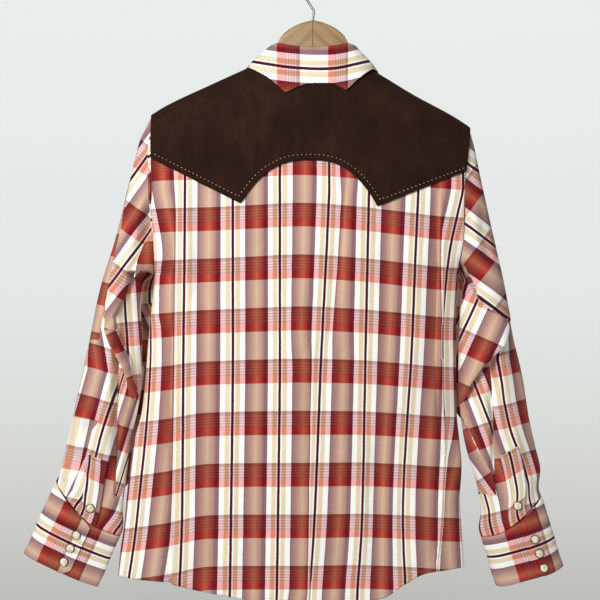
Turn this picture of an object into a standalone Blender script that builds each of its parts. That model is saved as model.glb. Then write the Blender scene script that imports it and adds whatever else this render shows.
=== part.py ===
"""A western snap shirt on a wooden hanger that hangs by its hook.

Lengths are in millimetres until a mesh is made. The origin is the inside top of the hook, where a rod
carries it. +Z is up, the shirt's back faces -Y and its front +Y. "down" is the distance below the origin,
"side" is -1 at -X and +1 at +X, and "face" is -1 on the back and +1 on the front.
"""

import math

import bpy
import numpy as np
from mathutils import Vector

METRES = 0.001
CLOTH = 1.4
GAP = 0.3
OVER = CLOTH + 0.6  # from the middle of one cloth to the middle of the next one on it
YOKE_OVER = OVER + 0.5  # from the middle of the back panel to the middle of the yoke
SEAM = 0.3  # half the space between two panels at a side seam

# Body: its two side edges, and how far its back and front reach from the middle plane.
BODY = {
    "down": (190, 232, 271, 313, 356, 407, 441, 500, 560, 598, 634, 669, 711, 753, 792, 870),
    "left": (-216.5, -216, -215, -215, -213, -213.5, -216, -222,
             -226.5, -231, -241, -246, -251, -255, -260.5, -266),
    "right": (212, 208, 203, 200.5, 200.5, 195, 193.5, 192.5, 193, 193.5, 197, 200, 198, 200, 203, 206),
}
DEPTH = {
    "down": (100, 200, 300, 407, 560, 700, 870),
    "back": (28, 31, 34, 36, 33, 29, 26),
    "front": (28, 33, 36, 38, 35, 31, 28),
}
# Top of the body, along the shoulders and over the neck.
RIDGE = {
    "x": (-217, -196, -138.5, -90.5, -78, -40, 0, 40, 78, 86.5, 129.5, 208, 213),
    "down": (198.5, 185.8, 158.7, 136.9, 131.2, 117.5, 113.5, 120.5, 137.5, 142.5, 168.7, 213.6, 218.5),
}
SHOULDER_ROUND = 60  # the body reaches its full depth this far below the ridge
SIDE_POWER = 2.6
UNDERARM = 407
UNDERARM_BLEND = 60  # the sides turn from the armholes' form to the lower body's over this height
ARMHOLE_TOP = {-1: 199, 1: 217}
ARMHOLE_HALF_DEPTH = 26
ARMHOLE_SEAM = 1.65  # from the body's edge to the middle of the sleeve's first ring
ARMHOLE_FULLER = 2  # the sleeve's first ring is this much larger than the armhole, as the yoke is
HEM = {
    "x": (-266, -249, -195, -159, -94.6, -49.4, 0, 58.6, 93, 120.5, 151, 206),
    "down": (816.5, 818, 822, 830, 842, 848.7, 849.6, 846.7, 841.3, 824.6, 810, 804),
}
# Long folds of the back and front: where the trough runs, its half width and how deep it is.
FOLDS = {
    "face": (-1, -1, -1, -1, 1, 1, 1),
    "x_top": (-186, -156, 175, 42, -120, 130, 60),
    "down_top": (330, 290, 300, 320, 300, 320, 420),
    "x_low": (-184, -166, 171, -4, -150, 160, 70),
    "down_low": (840, 500, 700, 840, 830, 800, 840),
    "half_width": (9, 12, 11, 14, 16, 16, 14),
    "deep": (12, 5, 9, 6, 9, 8, 5),
}
FOLD_FADE = 70

# Yoke: the lower edge has two points with a bay between them.
YOKE_BAY = (-4.3, 260.8)
YOKE_POINTS = {-1: (-95.6, 318.2), 1: (84.7, 322.1)}
YOKE_ENDS = {-1: (-216, 257.5), 1: (204, 276.7)}
YOKE_BAY_POWER = 2.6
YOKE_RUN_ON = 1.05  # the straight edges run on this far past the armholes
YOKE_UNDER = 12  # the back panel runs this far up under the yoke
YOKE_FRONT = 35  # the yoke ends this far below the ridge on the front
SHOULDER_END = 210  # where the shoulder line meets the armholes

# Neck and collar.
NECK_HALF_WIDTH = 78
NECK_DOWN = 132
NECK_TILT = 0.042
NECK_DROP = {-1: 9, 1: 64}
# Fold line at the top of the collar, by the angle round the neck from the centre back.
COLLAR_FOLD = {
    "angle": (0, 30, 60, 90, 120, 150, 180, 200),
    "down": (111.5, 108.3, 103.8, 107.2, 125, 152, 172, 176),
    "y": (-22, -19, -12, -1, 14, 29, 36, 36),
    "roll": (3.4, 3.4, 3.4, 3.6, 5, 7.2, 7.2, 7.2),
}
COLLAR_FOLD_HALF_WIDTH = 54
# Lower edge of the collar's fall on each side.
FALL_EDGE = {
    -1: {
        "angle": (0, 10, 36, 55, 78, 98, 115, 132, 150, 165, 176),
        "x": (1, -9.5, -36.6, -60.2, -86.6, -90, -90, -86, -78, -64, -48),
        "y": (-34.6, -34.6, -36, -31.5, -11.8, 5, 19, 33, 40, 43, 44),
        "down": (158.9, 160.1, 171.6, 150.4, 130.8, 130.5, 138, 158, 191, 217, 238),
    },
    1: {
        "angle": (0, 14, 40, 62, 84, 100, 116, 133, 150, 165, 176),
        "x": (1, 19.2, 43.4, 62.8, 81.8, 88, 89, 86, 78, 64, 48),
        "y": (-34.6, -34.6, -36, -30, -11.5, 5, 18, 32, 40, 43, 44),
        "down": (158.9, 158.9, 168.5, 150.1, 136, 137.5, 146, 165, 192, 217, 238),
    },
}
STAND_INSIDE = 1.8  # the stand is seated just inside the neck edge
STAND_RAISED = 1.15  # from the neck edge to the stand's lower edge
STAND_OVERLAP = 9  # degrees past the centre front at each end of the stand
STAND_LAP_FROM, STAND_LAP_RISE = 155, 20  # degrees round the neck where its upper end starts to lap over

# Sleeves: each row is a section from its outer edge to its inner edge, and its half depth.
SLEEVES = {
    -1: {
        "out_x": (-224.5, -232, -238.3, -247, -264, -285, -301, -318, -327.5, -335, -341),
        "out_down": (213, 228, 251, 286, 356, 425, 500, 577.5, 622, 653, 679),
        "in_x": (-217, -220, -223, -226, -229.5, -232.5, -231, -235.8, -247, -253, -257),
        "in_down": (409.5, 412, 415, 418, 424, 450, 505, 585, 640, 688, 724),
        "half_depth": (27, 29, 31, 33, 34, 34, 33, 31, 28, 24, 19),
    },
    1: {
        "out_x": (216, 221, 225.5, 232, 246, 257, 269, 281, 291, 299, 306),
        "out_down": (236, 260, 282, 312, 376, 430, 494, 545, 606, 642, 672),
        "in_x": (198.5, 201.5, 204, 206, 204, 200, 197.2, 197.6, 206, 222, 227),
        "in_down": (409.5, 412, 415, 418, 426, 452, 505, 570, 640, 696, 730),
        "half_depth": (27, 29, 31, 33, 34, 34, 33, 31, 28, 26, 23),
    },
}
# Dents in the sleeves' backs and fronts: the place along the sleeve and round it, the reach and the depth.
SLEEVE_DENTS = {
    "along": (0.36, 0.52, 0.66, 0.8, 0.45, 0.7),
    "round": (-75, -120, -70, -110, 80, 105),
    "reach_along": (0.10, 0.07, 0.10, 0.09, 0.10, 0.12),
    "reach_round": (26, 26, 24, 22, 30, 30),
    "deep": (9, 11, 8, 6, 8, 7),
}
DENT_MOST = 0.6  # a dent never takes more than this share of the sleeve's depth there
# Cuffs: middle of the top line, lean from upright, half width and half depth, length, and the overlap's edge.
CUFFS = {
    -1: {"x": -310.2, "down": 741, "lean": 25, "length": 74,
         "half_width": 54.3, "half_depth": 14, "edge": -14.3},
    1: {"x": 271.2, "down": 750.8, "lean": 17, "length": 69,
        "half_width": 46.2, "half_depth": 22, "edge": 5.3},
}
CUFF_PEAK = 30
CUFF_PEAK_REACH = 70
CUFF_PEAK_POWER = 1.3
CUFF_OVERLAP = 25
CUFF_SNAPS = (18.5, 38, 58)
CUFF_SNAP_IN = 12
CUFF_ROUND, CUFF_CORNER_TOP, CUFF_CORNER_LOW = 12, 4, 9  # reach and rise of the lap's rounded corners
PLACKET_WIDTH = 27
SLEEVE_PLACKET = {-1: (0.735, 0.985, -97), 1: (0.735, 0.985, -83)}  # from, to, angle round the sleeve
SLEEVE_PLACKET_OVER = OVER + 0.7
SLEEVE_SNAP = 0.88
PLACKET_SPAN = 4.0  # degrees over which the sleeve's girth is read

FRONT_PLACKET_WIDTH = 32
FRONT_UNDERLAP = 14
FRONT_SNAPS = 7
FRONT_SNAP_DOWN = 216
FRONT_SNAP_STEP = 84
FRONT_LAP_RISE = 40

# Snap cap: a turned profile of (radius, height).
SNAP = ((0, 0), (5.8, 0), (6.2, 0.8), (6.2, 1.6), (5.2, 2.3), (3.6, 3.0), (0, 3.4))
SNAP_SIDES = 12
SNAP_SEAT = 0.5

# Hanger.
HANGER_THICK = 12
HANGER_EDGE_ROUND = 5
DOME_TOP = 68
DOME_HALF_WIDTH = 48
DOME_HEIGHT = 36
DOME_POWER = 4 / 3  # over 1, so that the dome's shoulders slope more than an ellipse's
DOME_TURNS = (8, 172)  # degrees, from the dome's left foot to its right foot
HANGER_FLANK = ((51, 112), (58, 124), (70, 136), (82, 140.5))
HANGER_SEAT = 0.7
HANGER_REACH = {-1: 203, 1: 199}
HANGER_LOW = {
    "x": (-203, -150, -100, -50, 0, 50, 100, 150, 199),
    "down": (209, 188, 170, 160, 157, 162, 179, 204, 231),
}
ARM_FROM = 95  # an arm meets the yoke from this far out
TIP_ROUND = 10
TIP_TURNS = (30, 55, 75)
EDGE_SHARE = 2.2  # a rounded edge takes at most this part of the board's height
WIRE = 1.6
BORE = 2.0
BORE_DEEP = 16
HOOK_RADIUS = 20.6
HOOK_STEM = ((0, 84 - GAP), (0, 66), (1.3, 54.8), (-2.2, 46.8), (-8.4, 39.8))
HOOK_FROM, HOOK_TO = 225, -38

COLOURS = {
    "check": (0.62, 0.30, 0.22, 1),
    "suede": (0.035, 0.016, 0.010, 1),
    "wood": (0.52, 0.34, 0.17, 1),
    "wire": (0.55, 0.55, 0.54, 1),
    "pearl": (0.72, 0.66, 0.52, 1),
}
ROUGHNESS = {"check": 0.85, "suede": 0.95, "wood": 0.5, "wire": 0.3, "pearl": 0.25}


def between(places, values, at):
    """Read a smooth curve through a table's values, which never passes beyond them."""
    places, values = np.asarray(places, float), np.asarray(values, float)
    at = np.clip(at, places[0], places[-1])
    step = np.diff(places)
    rise = np.diff(values) / step
    slope = np.zeros(len(places))
    slope[0], slope[-1] = rise[0], rise[-1]
    same = rise[1:] * rise[:-1] > 0
    slope[1:-1][same] = 2 * rise[1:][same] * rise[:-1][same] / (rise[1:] + rise[:-1])[same]
    i = np.clip(np.searchsorted(places, at, side="right") - 1, 0, len(step) - 1)
    t = (at - places[i]) / step[i]
    ends = values[i] * (1 + 2 * t) * (1 - t) ** 2 + values[i + 1] * t * t * (3 - 2 * t)
    return ends + slope[i] * step[i] * t * (1 - t) ** 2 + slope[i + 1] * step[i] * t * t * (t - 1)


def ease(t):
    """Go smoothly from 0 to 1."""
    t = np.clip(t, 0, 1)
    return t * t * (3 - 2 * t)


# The body's form


def side_x(side, down):
    return between(BODY["down"], BODY["left" if side < 0 else "right"], down)


def ridge(x):
    return between(RIDGE["x"], RIDGE["down"], x)


def armhole_depth(x, down):
    """Half depth at the armholes: an ellipse from the ridge to the underarm."""
    top = ridge(x)
    off = (2 * down - top - UNDERARM) / (UNDERARM - top)
    return ARMHOLE_HALF_DEPTH * np.sqrt(np.clip(1 - off * off, 0, 1))


def folds(face, x, down):
    """How far the long folds draw the cloth in."""
    drawn = 0 * x
    for i in [i for i, which in enumerate(FOLDS["face"]) if which == face]:
        top, low = FOLDS["down_top"][i], FOLDS["down_low"][i]
        run = (down - top) / (low - top)
        middle = FOLDS["x_top"][i] + (FOLDS["x_low"][i] - FOLDS["x_top"][i]) * run
        fade = ease((down - top) / FOLD_FADE + 0.5) * ease((low - down) / FOLD_FADE + 0.5)
        drawn = drawn + FOLDS["deep"][i] * fade * np.exp(-(((x - middle) / FOLDS["half_width"][i]) ** 2))
    return drawn


def body_y(face, x, down):
    """The middle of the body's cloth at a place on its back or front."""
    x, down = np.broadcast_arrays(np.asarray(x, float), np.asarray(down, float))
    left, right = side_x(-1, down), side_x(1, down)
    across = np.clip((2 * x - left - right) / (right - left), -1, 1)
    below = np.clip((down - ridge(x)) / SHOULDER_ROUND, 0, 1)
    full = between(DEPTH["down"], DEPTH["back" if face < 0 else "front"], down)
    full = full * np.sqrt(1 - (1 - below) ** 2) - folds(face, x, down)
    edge = armhole_depth(x, down)
    roundness = 1 - 0.5 * ease((down - UNDERARM + UNDERARM_BLEND) / UNDERARM_BLEND)
    inner = np.clip(1 - np.abs(across) ** SIDE_POWER, 0, 1) ** roundness
    return face * (edge * (1 - inner) + full * inner + SEAM)


def body_points(face, x, down):
    return np.stack([x + 0 * down, body_y(face, x, down), -down - 0 * x], axis=-1)


def moved_out(points, distance):
    """Move a sheet's points out from its face, along the sheet's own normals."""
    rows, columns = np.gradient(points, axis=0), np.gradient(points, axis=1)
    normal = np.cross(rows, columns)
    normal /= np.maximum(np.linalg.norm(normal, axis=-1, keepdims=True), 1e-9)
    return points + normal * np.asarray(distance)


# Meshes and finishes


def finish(thing, finish_name):
    material = bpy.data.materials.new(thing.name)
    material.use_nodes = True
    shader = material.node_tree.nodes["Principled BSDF"]
    shader.inputs["Base Color"].default_value = COLOURS[finish_name]
    shader.inputs["Roughness"].default_value = ROUGHNESS[finish_name]
    shader.inputs["Metallic"].default_value = 1.0 if finish_name == "wire" else 0.0
    thing.data.materials.append(material)


def put(name, mesh, finish_name):
    thing = bpy.data.objects.new(name, mesh)
    bpy.context.collection.objects.link(thing)
    finish(thing, finish_name)
    return thing


def sheet(name, grids, finish_name="check", closed=False):
    """Make one cloth wall from grids of points, whose rows run down and columns anticlockwise from above."""
    number, points, faces = {}, [], []
    for grid in grids:
        index = []
        for row in grid:
            for point in row:
                key = tuple(np.round(point, 4))
                if key not in number:
                    number[key] = len(points)
                    points.append(Vector(point) * METRES)
                index.append(number[key])
        rows, columns = len(grid), len(grid[0])
        for i in range(rows - 1):
            for j in range(columns if closed else columns - 1):
                k = (j + 1) % columns
                faces.append([index[i * columns + j], index[i * columns + columns + j],
                              index[i * columns + columns + k], index[i * columns + k]])
    mesh = bpy.data.meshes.new(name)
    mesh.from_pydata(points, [], faces)
    mesh.validate()
    mesh.shade_smooth()
    thing = put(name, mesh, finish_name)
    wall = thing.modifiers.new("wall", "SOLIDIFY")
    wall.thickness = CLOTH * METRES
    wall.offset = 0
    return thing


def snap(name, mesh, point, normal):
    """Seat one snap on the cloth at a point, facing along the normal."""
    thing = put(name, mesh.copy(), "pearl")
    out = Vector(normal).normalized()
    thing.location = (Vector(point) + out * (CLOTH / 2 + SNAP_SEAT)) * METRES
    thing.rotation_euler = out.to_track_quat("Z", "Y").to_euler()


def snap_mesh():
    """Turn the snap's profile round Z."""
    points, faces = [], []
    rings = []
    for radius, height in SNAP:
        count = SNAP_SIDES if radius else 1
        rings.append(range(len(points), len(points) + count))
        for i in range(count):
            turn = 2 * math.pi * i / SNAP_SIDES
            points.append(Vector((radius * math.cos(turn), radius * math.sin(turn), height)) * METRES)
    for low, high in zip(rings, rings[1:]):
        for i in range(SNAP_SIDES):
            j = (i + 1) % SNAP_SIDES
            ring = [low[i % len(low)], low[j % len(low)], high[j % len(high)], high[i % len(high)]]
            faces.append(list(dict.fromkeys(ring)))
    mesh = bpy.data.meshes.new("snap")
    mesh.from_pydata(points, [], faces)
    mesh.shade_smooth()
    mesh.set_sharp_from_angle(angle=math.radians(40))
    return mesh


# Hanger


def hanger_top(x):
    """Upper edge of an arm, which the yoke rests on."""
    return ridge(x) - YOKE_OVER + CLOTH / 2 + HANGER_SEAT


def hanger_stations():
    """(x, upper edge, lower edge) along the hanger, from its left tip to its right tip."""
    turns = np.radians(np.linspace(*DOME_TURNS, 19))
    dome = []
    for t in turns:
        x = -DOME_HALF_WIDTH * math.copysign(abs(math.cos(t)) ** DOME_POWER, math.cos(t))
        dome.append((x, DOME_TOP + DOME_HEIGHT * (1 - math.sin(t))))
    stations = []
    for side in (-1, 1):
        arm = [(side * x, down) for x, down in HANGER_FLANK]
        for x in np.linspace(ARM_FROM, HANGER_REACH[side] - TIP_ROUND, 6):
            arm.append((side * x, float(hanger_top(side * x))))
        stations += [(x, top, float(between(HANGER_LOW["x"], HANGER_LOW["down"], x))) for x, top in arm]
        for turn in np.radians(TIP_TURNS):
            x = side * (HANGER_REACH[side] - TIP_ROUND * (1 - math.sin(turn)))
            top, low = float(hanger_top(x)), float(between(HANGER_LOW["x"], HANGER_LOW["down"], x))
            half = (low - top) / 2
            middle = (top + low) / 2
            stations.append((x, middle - half * math.cos(turn), middle + half * math.cos(turn)))
    stations += [(x, top, float(between(HANGER_LOW["x"], HANGER_LOW["down"], x))) for x, top in dome]
    return sorted(stations)


def hanger_body():
    """A board with rounded edges: the same rounded section at each station along it."""
    half, arc = HANGER_THICK / 2, np.radians((0, 30, 60, 90))
    rings, faces = [], []
    for x, top, low in hanger_stations():
        edge = min(HANGER_EDGE_ROUND, (low - top) / EDGE_SHARE)
        inset = [(half - edge + edge * math.cos(t), edge - edge * math.sin(t)) for t in arc]
        quarter = [(y, top + drop) for y, drop in inset[::-1]] + [(y, low - drop) for y, drop in inset]
        rings.append([(x, y, down) for y, down in quarter] + [(x, -y, down) for y, down in quarter[::-1]])
    count = len(rings[0])
    points = [Vector((x, y, -down)) * METRES for ring in rings for x, y, down in ring]
    for i in range(len(rings) - 1):
        for j in range(count):
            k = (j + 1) % count
            faces.append([i * count + j, i * count + k, (i + 1) * count + k, (i + 1) * count + j])
    last = (len(rings) - 1) * count
    faces += [list(range(count))[::-1], list(range(last, last + count))]
    mesh = bpy.data.meshes.new("hanger_body")
    mesh.from_pydata(points, [], faces)
    mesh.shade_smooth()
    mesh.set_sharp_from_angle(angle=math.radians(40))
    thing = put("hanger_body", mesh, "wood")
    bore = thing.modifiers.new("stem bore", "BOOLEAN")
    bore.object = bore_cutter()
    bore.operation = "DIFFERENCE"


def bore_cutter():
    """The hole down into the top of the dome that takes the hook's stem."""
    above = 10
    turns = [2 * math.pi * i / SNAP_SIDES for i in range(SNAP_SIDES)]
    levels = (DOME_TOP + BORE_DEEP, DOME_TOP - above)
    circle = [(BORE * math.cos(t), BORE * math.sin(t)) for t in turns]
    points = [Vector((x, y, -level)) * METRES for level in levels for x, y in circle]
    n = SNAP_SIDES
    faces = [list(range(n))[::-1], list(range(n, 2 * n))]
    faces += [[i, (i + 1) % n, (i + 1) % n + n, i + n] for i in range(n)]
    mesh = bpy.data.meshes.new("stem bore")
    mesh.from_pydata(points, [], faces)
    cutter = bpy.data.objects.new("stem bore", mesh)
    bpy.context.collection.objects.link(cutter)
    cutter.hide_render = True
    cutter.display_type = "WIRE"
    return cutter


def hanger_hook():
    """Bend the wire: a stem, a crank and most of a circle open at the lower right."""
    turns = np.radians(np.linspace(HOOK_FROM, HOOK_TO, 26))
    centre = HOOK_RADIUS - WIRE
    path = list(HOOK_STEM) + [(HOOK_RADIUS * math.cos(t), centre - HOOK_RADIUS * math.sin(t)) for t in turns]
    curve = bpy.data.curves.new("hanger_hook", "CURVE")
    curve.dimensions = "3D"
    line = curve.splines.new("POLY")
    line.points.add(len(path) - 1)
    for point, (x, down) in zip(line.points, path):
        point.co = (x * METRES, 0, -down * METRES, 1)
    curve.bevel_depth = WIRE * METRES
    curve.bevel_resolution = 2
    curve.use_fill_caps = True
    put("hanger_hook", curve, "wire")


# Yoke and body panels


def yoke_edge(x):
    """The yoke's lower edge: a bay between two points, and straight to each armhole."""
    x = np.asarray(x, float)
    middle, top = YOKE_BAY
    down = np.full_like(x, top)
    for side in (-1, 1):
        tip_x, tip = YOKE_POINTS[side]
        end_x, end = YOKE_ENDS[side]
        share = np.clip((x - middle) / (tip_x - middle), 0, 1)
        bay = top + (tip - top) * share ** YOKE_BAY_POWER
        run = np.clip((x - tip_x) / (end_x - tip_x), 0, YOKE_RUN_ON)
        straight = tip + (end - tip) * run
        here = (x - middle) * side >= 0
        down = np.where(here, np.where((x - tip_x) * side > 0, straight, bay), down)
    return down


def neck_point(x):
    return NECK_DOWN + NECK_TILT * x


def neck_line(face, x):
    """The neck seam on the back or front."""
    inside = np.sqrt(np.clip(1 - (x / NECK_HALF_WIDTH) ** 2, 0, 1))
    return neck_point(x) + NECK_DROP[face] * inside


def neck_edge_x(side, down):
    """The neck seam's x on the front at a level."""
    drop = (down - neck_point(side * NECK_HALF_WIDTH)) / NECK_DROP[1]
    return side * NECK_HALF_WIDTH * np.sqrt(np.clip(1 - drop * drop, 0, 1))


# The yoke's columns: shares of the way from the neck point to the armhole, and of half the neck's width.
YOKE_SIDE = {
    -1: (1, 0.94, 0.8, 0.62, 0.45, 0.3, 0.142, 0.06, 0),
    1: (0, 0.0736, 0.2, 0.35, 0.5, 0.66, 0.82, 0.94, 1),
}
YOKE_NECK = (-0.88, -0.7, -0.5, -0.25, 0, 0.25, 0.5, 0.7, 0.88)
YOKE_ROWS = 9
YOKE_FRONT_ROWS = 5


def back_yoke():
    levels = np.linspace(0, 1, YOKE_ROWS + 1)[:, None]
    columns = []
    for side in (-1, 1):
        for share in YOKE_SIDE[side]:
            start = side * NECK_HALF_WIDTH
            x = start + share * (side_x(side, ridge(side * SHOULDER_END)) - start)
            top, low = ridge(x), yoke_edge(x)
            down = top + (low - top) * levels[:, 0] ** 2
            x_here = start + share * (side_x(side, down) - start)
            columns.append((side, x, np.stack([x_here, body_y(-1, x_here, down), -down], axis=-1)))
        if side < 0:
            for share in YOKE_NECK:
                x = share * NECK_HALF_WIDTH
                top, low = neck_line(-1, x), yoke_edge(x)
                down = top + (low - top) * levels[:, 0] ** 1.5
                columns.append((0, x, body_points(-1, x, down)))
    back = np.stack([points for _, _, points in columns], axis=1)
    back = moved_out(back, YOKE_OVER)
    grids = [back]
    for side in (-1, 1):
        rows = []
        for below in np.linspace(1, 0, YOKE_FRONT_ROWS + 1) ** 2:
            row = []
            for share in YOKE_SIDE[side]:
                start = side * NECK_HALF_WIDTH
                x = start + share * (side_x(side, ridge(side * SHOULDER_END)) - start)
                inner = neck_edge_x(side, ridge(start) + YOKE_FRONT * below) if below else start
                down = ridge(x) + YOKE_FRONT * below
                x_here = inner + share * (side_x(side, down) - inner)
                down = ridge(x_here) + YOKE_FRONT * below
                row.append((x_here, float(body_y(1, x_here, down)), -down))
            rows.append(row)
        front = moved_out(np.array(rows, float), YOKE_OVER)
        edge = back[0, : len(YOKE_SIDE[-1])] if side < 0 else back[0, -len(YOKE_SIDE[1]):]
        front[-1] = edge
        grids.append(front)
    sheet("back_yoke", grids, "suede")


# Columns of a panel as shares of its width, closer together at the edges and the folds.
BACK_ACROSS = (-1, -0.9975, -0.985, -0.93, -0.89, -0.85, -0.81, -0.75, -0.66, -0.53, -0.35, -0.12, 0.0,
               0.09, 0.18, 0.28, 0.4, 0.55, 0.7, 0.8, 0.86, 0.91, 0.96, 0.985, 0.9975, 1)
PANEL_ROWS = 15


PANEL_TOP_AT, PANEL_LOW_AT = 300.0, 840.0  # levels at which a column reads its top and its hem


def panel(face, across, x_of, top_of):
    """Points of a body panel: its columns go between their top and the hem."""
    columns = []
    for share in across:
        top = top_of(x_of(share, PANEL_TOP_AT))
        low = between(HEM["x"], HEM["down"], x_of(share, PANEL_LOW_AT))
        down = top + (low - top) * np.linspace(0, 1, PANEL_ROWS + 1)
        x = x_of(share, down)
        columns.append(np.stack([x, body_y(face, x, down), -down], axis=-1))
    return np.stack(columns, axis=1)


def back_panel():
    def x_of(share, down):
        left, right = side_x(-1, down), side_x(1, down)
        return (left + right) / 2 + share * (right - left) / 2

    sheet("back_panel", [panel(-1, BACK_ACROSS, x_of, lambda x: yoke_edge(x) - YOKE_UNDER)])


FRONT_SHARES = (0, 0.0013, 0.01, 0.06, 0.15, 0.27, 0.4, 0.52, 0.62, 0.68, 0.76, 0.85, 0.93, 1)


def front_top(x):
    """Where a front starts: at the yoke's end, or lower along the neck seam."""
    shoulder = ridge(x) + YOKE_FRONT + 3 * GAP
    return np.where(np.abs(x) < NECK_HALF_WIDTH, np.maximum(shoulder, neck_line(1, x) + GAP), shoulder)


def lap(x, face_out):
    """How far the upper front stands off the lower one near the middle."""
    return face_out * ease((x + FRONT_LAP_RISE + FRONT_UNDERLAP) / FRONT_LAP_RISE)


def front_panels():
    """The wearer's left front, at -X, laps over the right one."""
    ends = {-1: FRONT_UNDERLAP, 1: -FRONT_UNDERLAP}
    for side, name in ((1, "front_right"), (-1, "front_left")):
        def x_of(share, down, side=side):
            return side_x(side, down) * (1 - share) + ends[side] * share

        shares = FRONT_SHARES if side > 0 else FRONT_SHARES[::-1]
        points = panel(1, shares, x_of, front_top)
        if side < 0:
            points = moved_out(points, lap(points[..., 0], OVER)[..., None])
        sheet(name, [points])


def front_placket():
    x = np.array([0.5, 0.25, 0, -0.25, -0.5]) * FRONT_PLACKET_WIDTH
    top = NECK_DOWN + NECK_DROP[1] + CLOTH
    low = between(HEM["x"], HEM["down"], 0.0) - 1
    down = np.linspace(top, low, 21)
    points = np.stack([body_points(1, value, down) for value in x], axis=1)
    points = moved_out(points, 2 * OVER)
    sheet("front_placket", [points])
    mesh = snap_mesh()
    for i in range(FRONT_SNAPS):
        level = FRONT_SNAP_DOWN + i * FRONT_SNAP_STEP
        point = body_points(1, 0.0, np.array(float(level))) + np.array((0, 2 * OVER, 0))
        snap(f"front_snap_{i + 1}", mesh, point, (0, 1, 0))


# Collar


def neck_ring(angle):
    """Points of the neck seam, by the angle from the centre back."""
    turn = np.radians(angle)
    x = (NECK_HALF_WIDTH - STAND_INSIDE) * np.sin(turn)
    back = np.cos(turn) > 0
    drop = np.where(back, NECK_DROP[-1], NECK_DROP[1]) * np.abs(np.cos(turn))
    down = neck_point(x) + drop
    y = np.where(back, body_y(-1, x, down), body_y(1, x, down))
    return np.stack([x, y, -down], axis=-1)


def fold_ring(angle):
    """Points of the line where the collar folds over."""
    turn, place = np.radians(angle), np.abs(angle)
    x = COLLAR_FOLD_HALF_WIDTH * np.sin(turn)
    y = between(COLLAR_FOLD["angle"], COLLAR_FOLD["y"], place)
    down = between(COLLAR_FOLD["angle"], COLLAR_FOLD["down"], place)
    return np.stack([x, y, -down], axis=-1)


def collar_stand():
    angle = np.linspace(-180 - STAND_OVERLAP, 180 + STAND_OVERLAP, 33)
    low, high = neck_ring(angle), fold_ring(angle)
    low[:, 2] += STAND_RAISED
    points = np.stack([high + (low - high) * t for t in (0.0, 0.35, 0.7, 1.0)])
    over = OVER * ease((-angle - STAND_LAP_FROM) / STAND_LAP_RISE)
    sheet("collar_stand", [moved_out(points, over[None, :, None])])
    middle = (fold_ring(np.array([180.0]))[0] + neck_ring(np.array([180.0]))[0]) / 2
    snap("stand_snap", snap_mesh(), middle + np.array((0, OVER + GAP, 0)), (0, 1, 0))


FALL_ANGLES = {-1: (176, 165, 150, 141, 132, 123, 115, 106, 98, 88, 78, 66, 55, 46, 36, 23, 10), 1: (
    0, 14, 27, 40, 51, 62, 73, 84, 92, 100, 108, 116, 124, 133, 141, 150, 165, 176)}
FALL_ROWS = ((0, 0.3), (0.05, 1), (0.3, 1.1), (0.65, 1.0), (1, 0))  # share of the way down, and of the roll


def collar_fall():
    columns = []
    for side in (-1, 1):
        edge = FALL_EDGE[side]
        for place in FALL_ANGLES[side]:
            angle = np.array([side * float(place)])
            top = fold_ring(angle)[0] + np.array((0, 0, OVER))
            low = np.array([np.interp(place, edge["angle"], edge[key]) for key in ("x", "y", "down")])
            low[2] *= -1
            roll = between(COLLAR_FOLD["angle"], COLLAR_FOLD["roll"], place)
            out = np.array((math.sin(angle[0] * math.pi / 180), -math.cos(angle[0] * math.pi / 180), 0))
            columns.append([top + (low - top) * t + out * roll * share for t, share in FALL_ROWS])
    sheet("collar_fall", [np.array(columns).transpose(1, 0, 2)])


# Sleeves and cuffs


def cuff_axes(side):
    """Top middle of a cuff, its outward and lengthwise directions."""
    cuff = CUFFS[side]
    lean = math.radians(cuff["lean"])
    middle = np.array((cuff["x"], 0.0, -cuff["down"]))
    outward = np.array((side * math.cos(lean), 0.0, math.sin(lean)))
    along = np.array((side * math.sin(lean), 0.0, -math.cos(lean)))
    return middle, outward, along


def cuff_top(side, turn):
    """How far a cuff's edge rises above its top line: to a peak at the outer edge."""
    inward = CUFFS[side]["half_width"] * (1 - np.cos(turn))
    return CUFF_PEAK * np.clip(1 - inward / CUFF_PEAK_REACH, 0, 1) ** CUFF_PEAK_POWER


def cuff_point(side, turn, level, out=0.0):
    """A point of a cuff: turn is the angle from its outer edge, and level the distance below its top line."""
    cuff = CUFFS[side]
    middle, outward, along = cuff_axes(side)
    wide = (cuff["half_width"] + out) * np.cos(turn)
    deep = (cuff["half_depth"] + out) * np.sin(turn)
    across = outward * wide[..., None] + np.array((0, 1, 0)) * deep[..., None]
    return middle + across + along * level[..., None]


SLEEVE_AROUND = 20
SLEEVE_END = (7, 0.8)  # the last rows of a sleeve, above the cuff's edge


def sleeve_sections(side):
    """Ends and half depths of the sections, the last two just above the cuff."""
    table = SLEEVES[side]
    outer = np.stack([table["out_x"], np.zeros(len(table["out_x"])), -np.array(table["out_down"])], axis=-1)
    inner = np.stack([table["in_x"], np.zeros(len(table["in_x"])), -np.array(table["in_down"])], axis=-1)
    return outer, inner, np.array(table["half_depth"], float)


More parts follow.
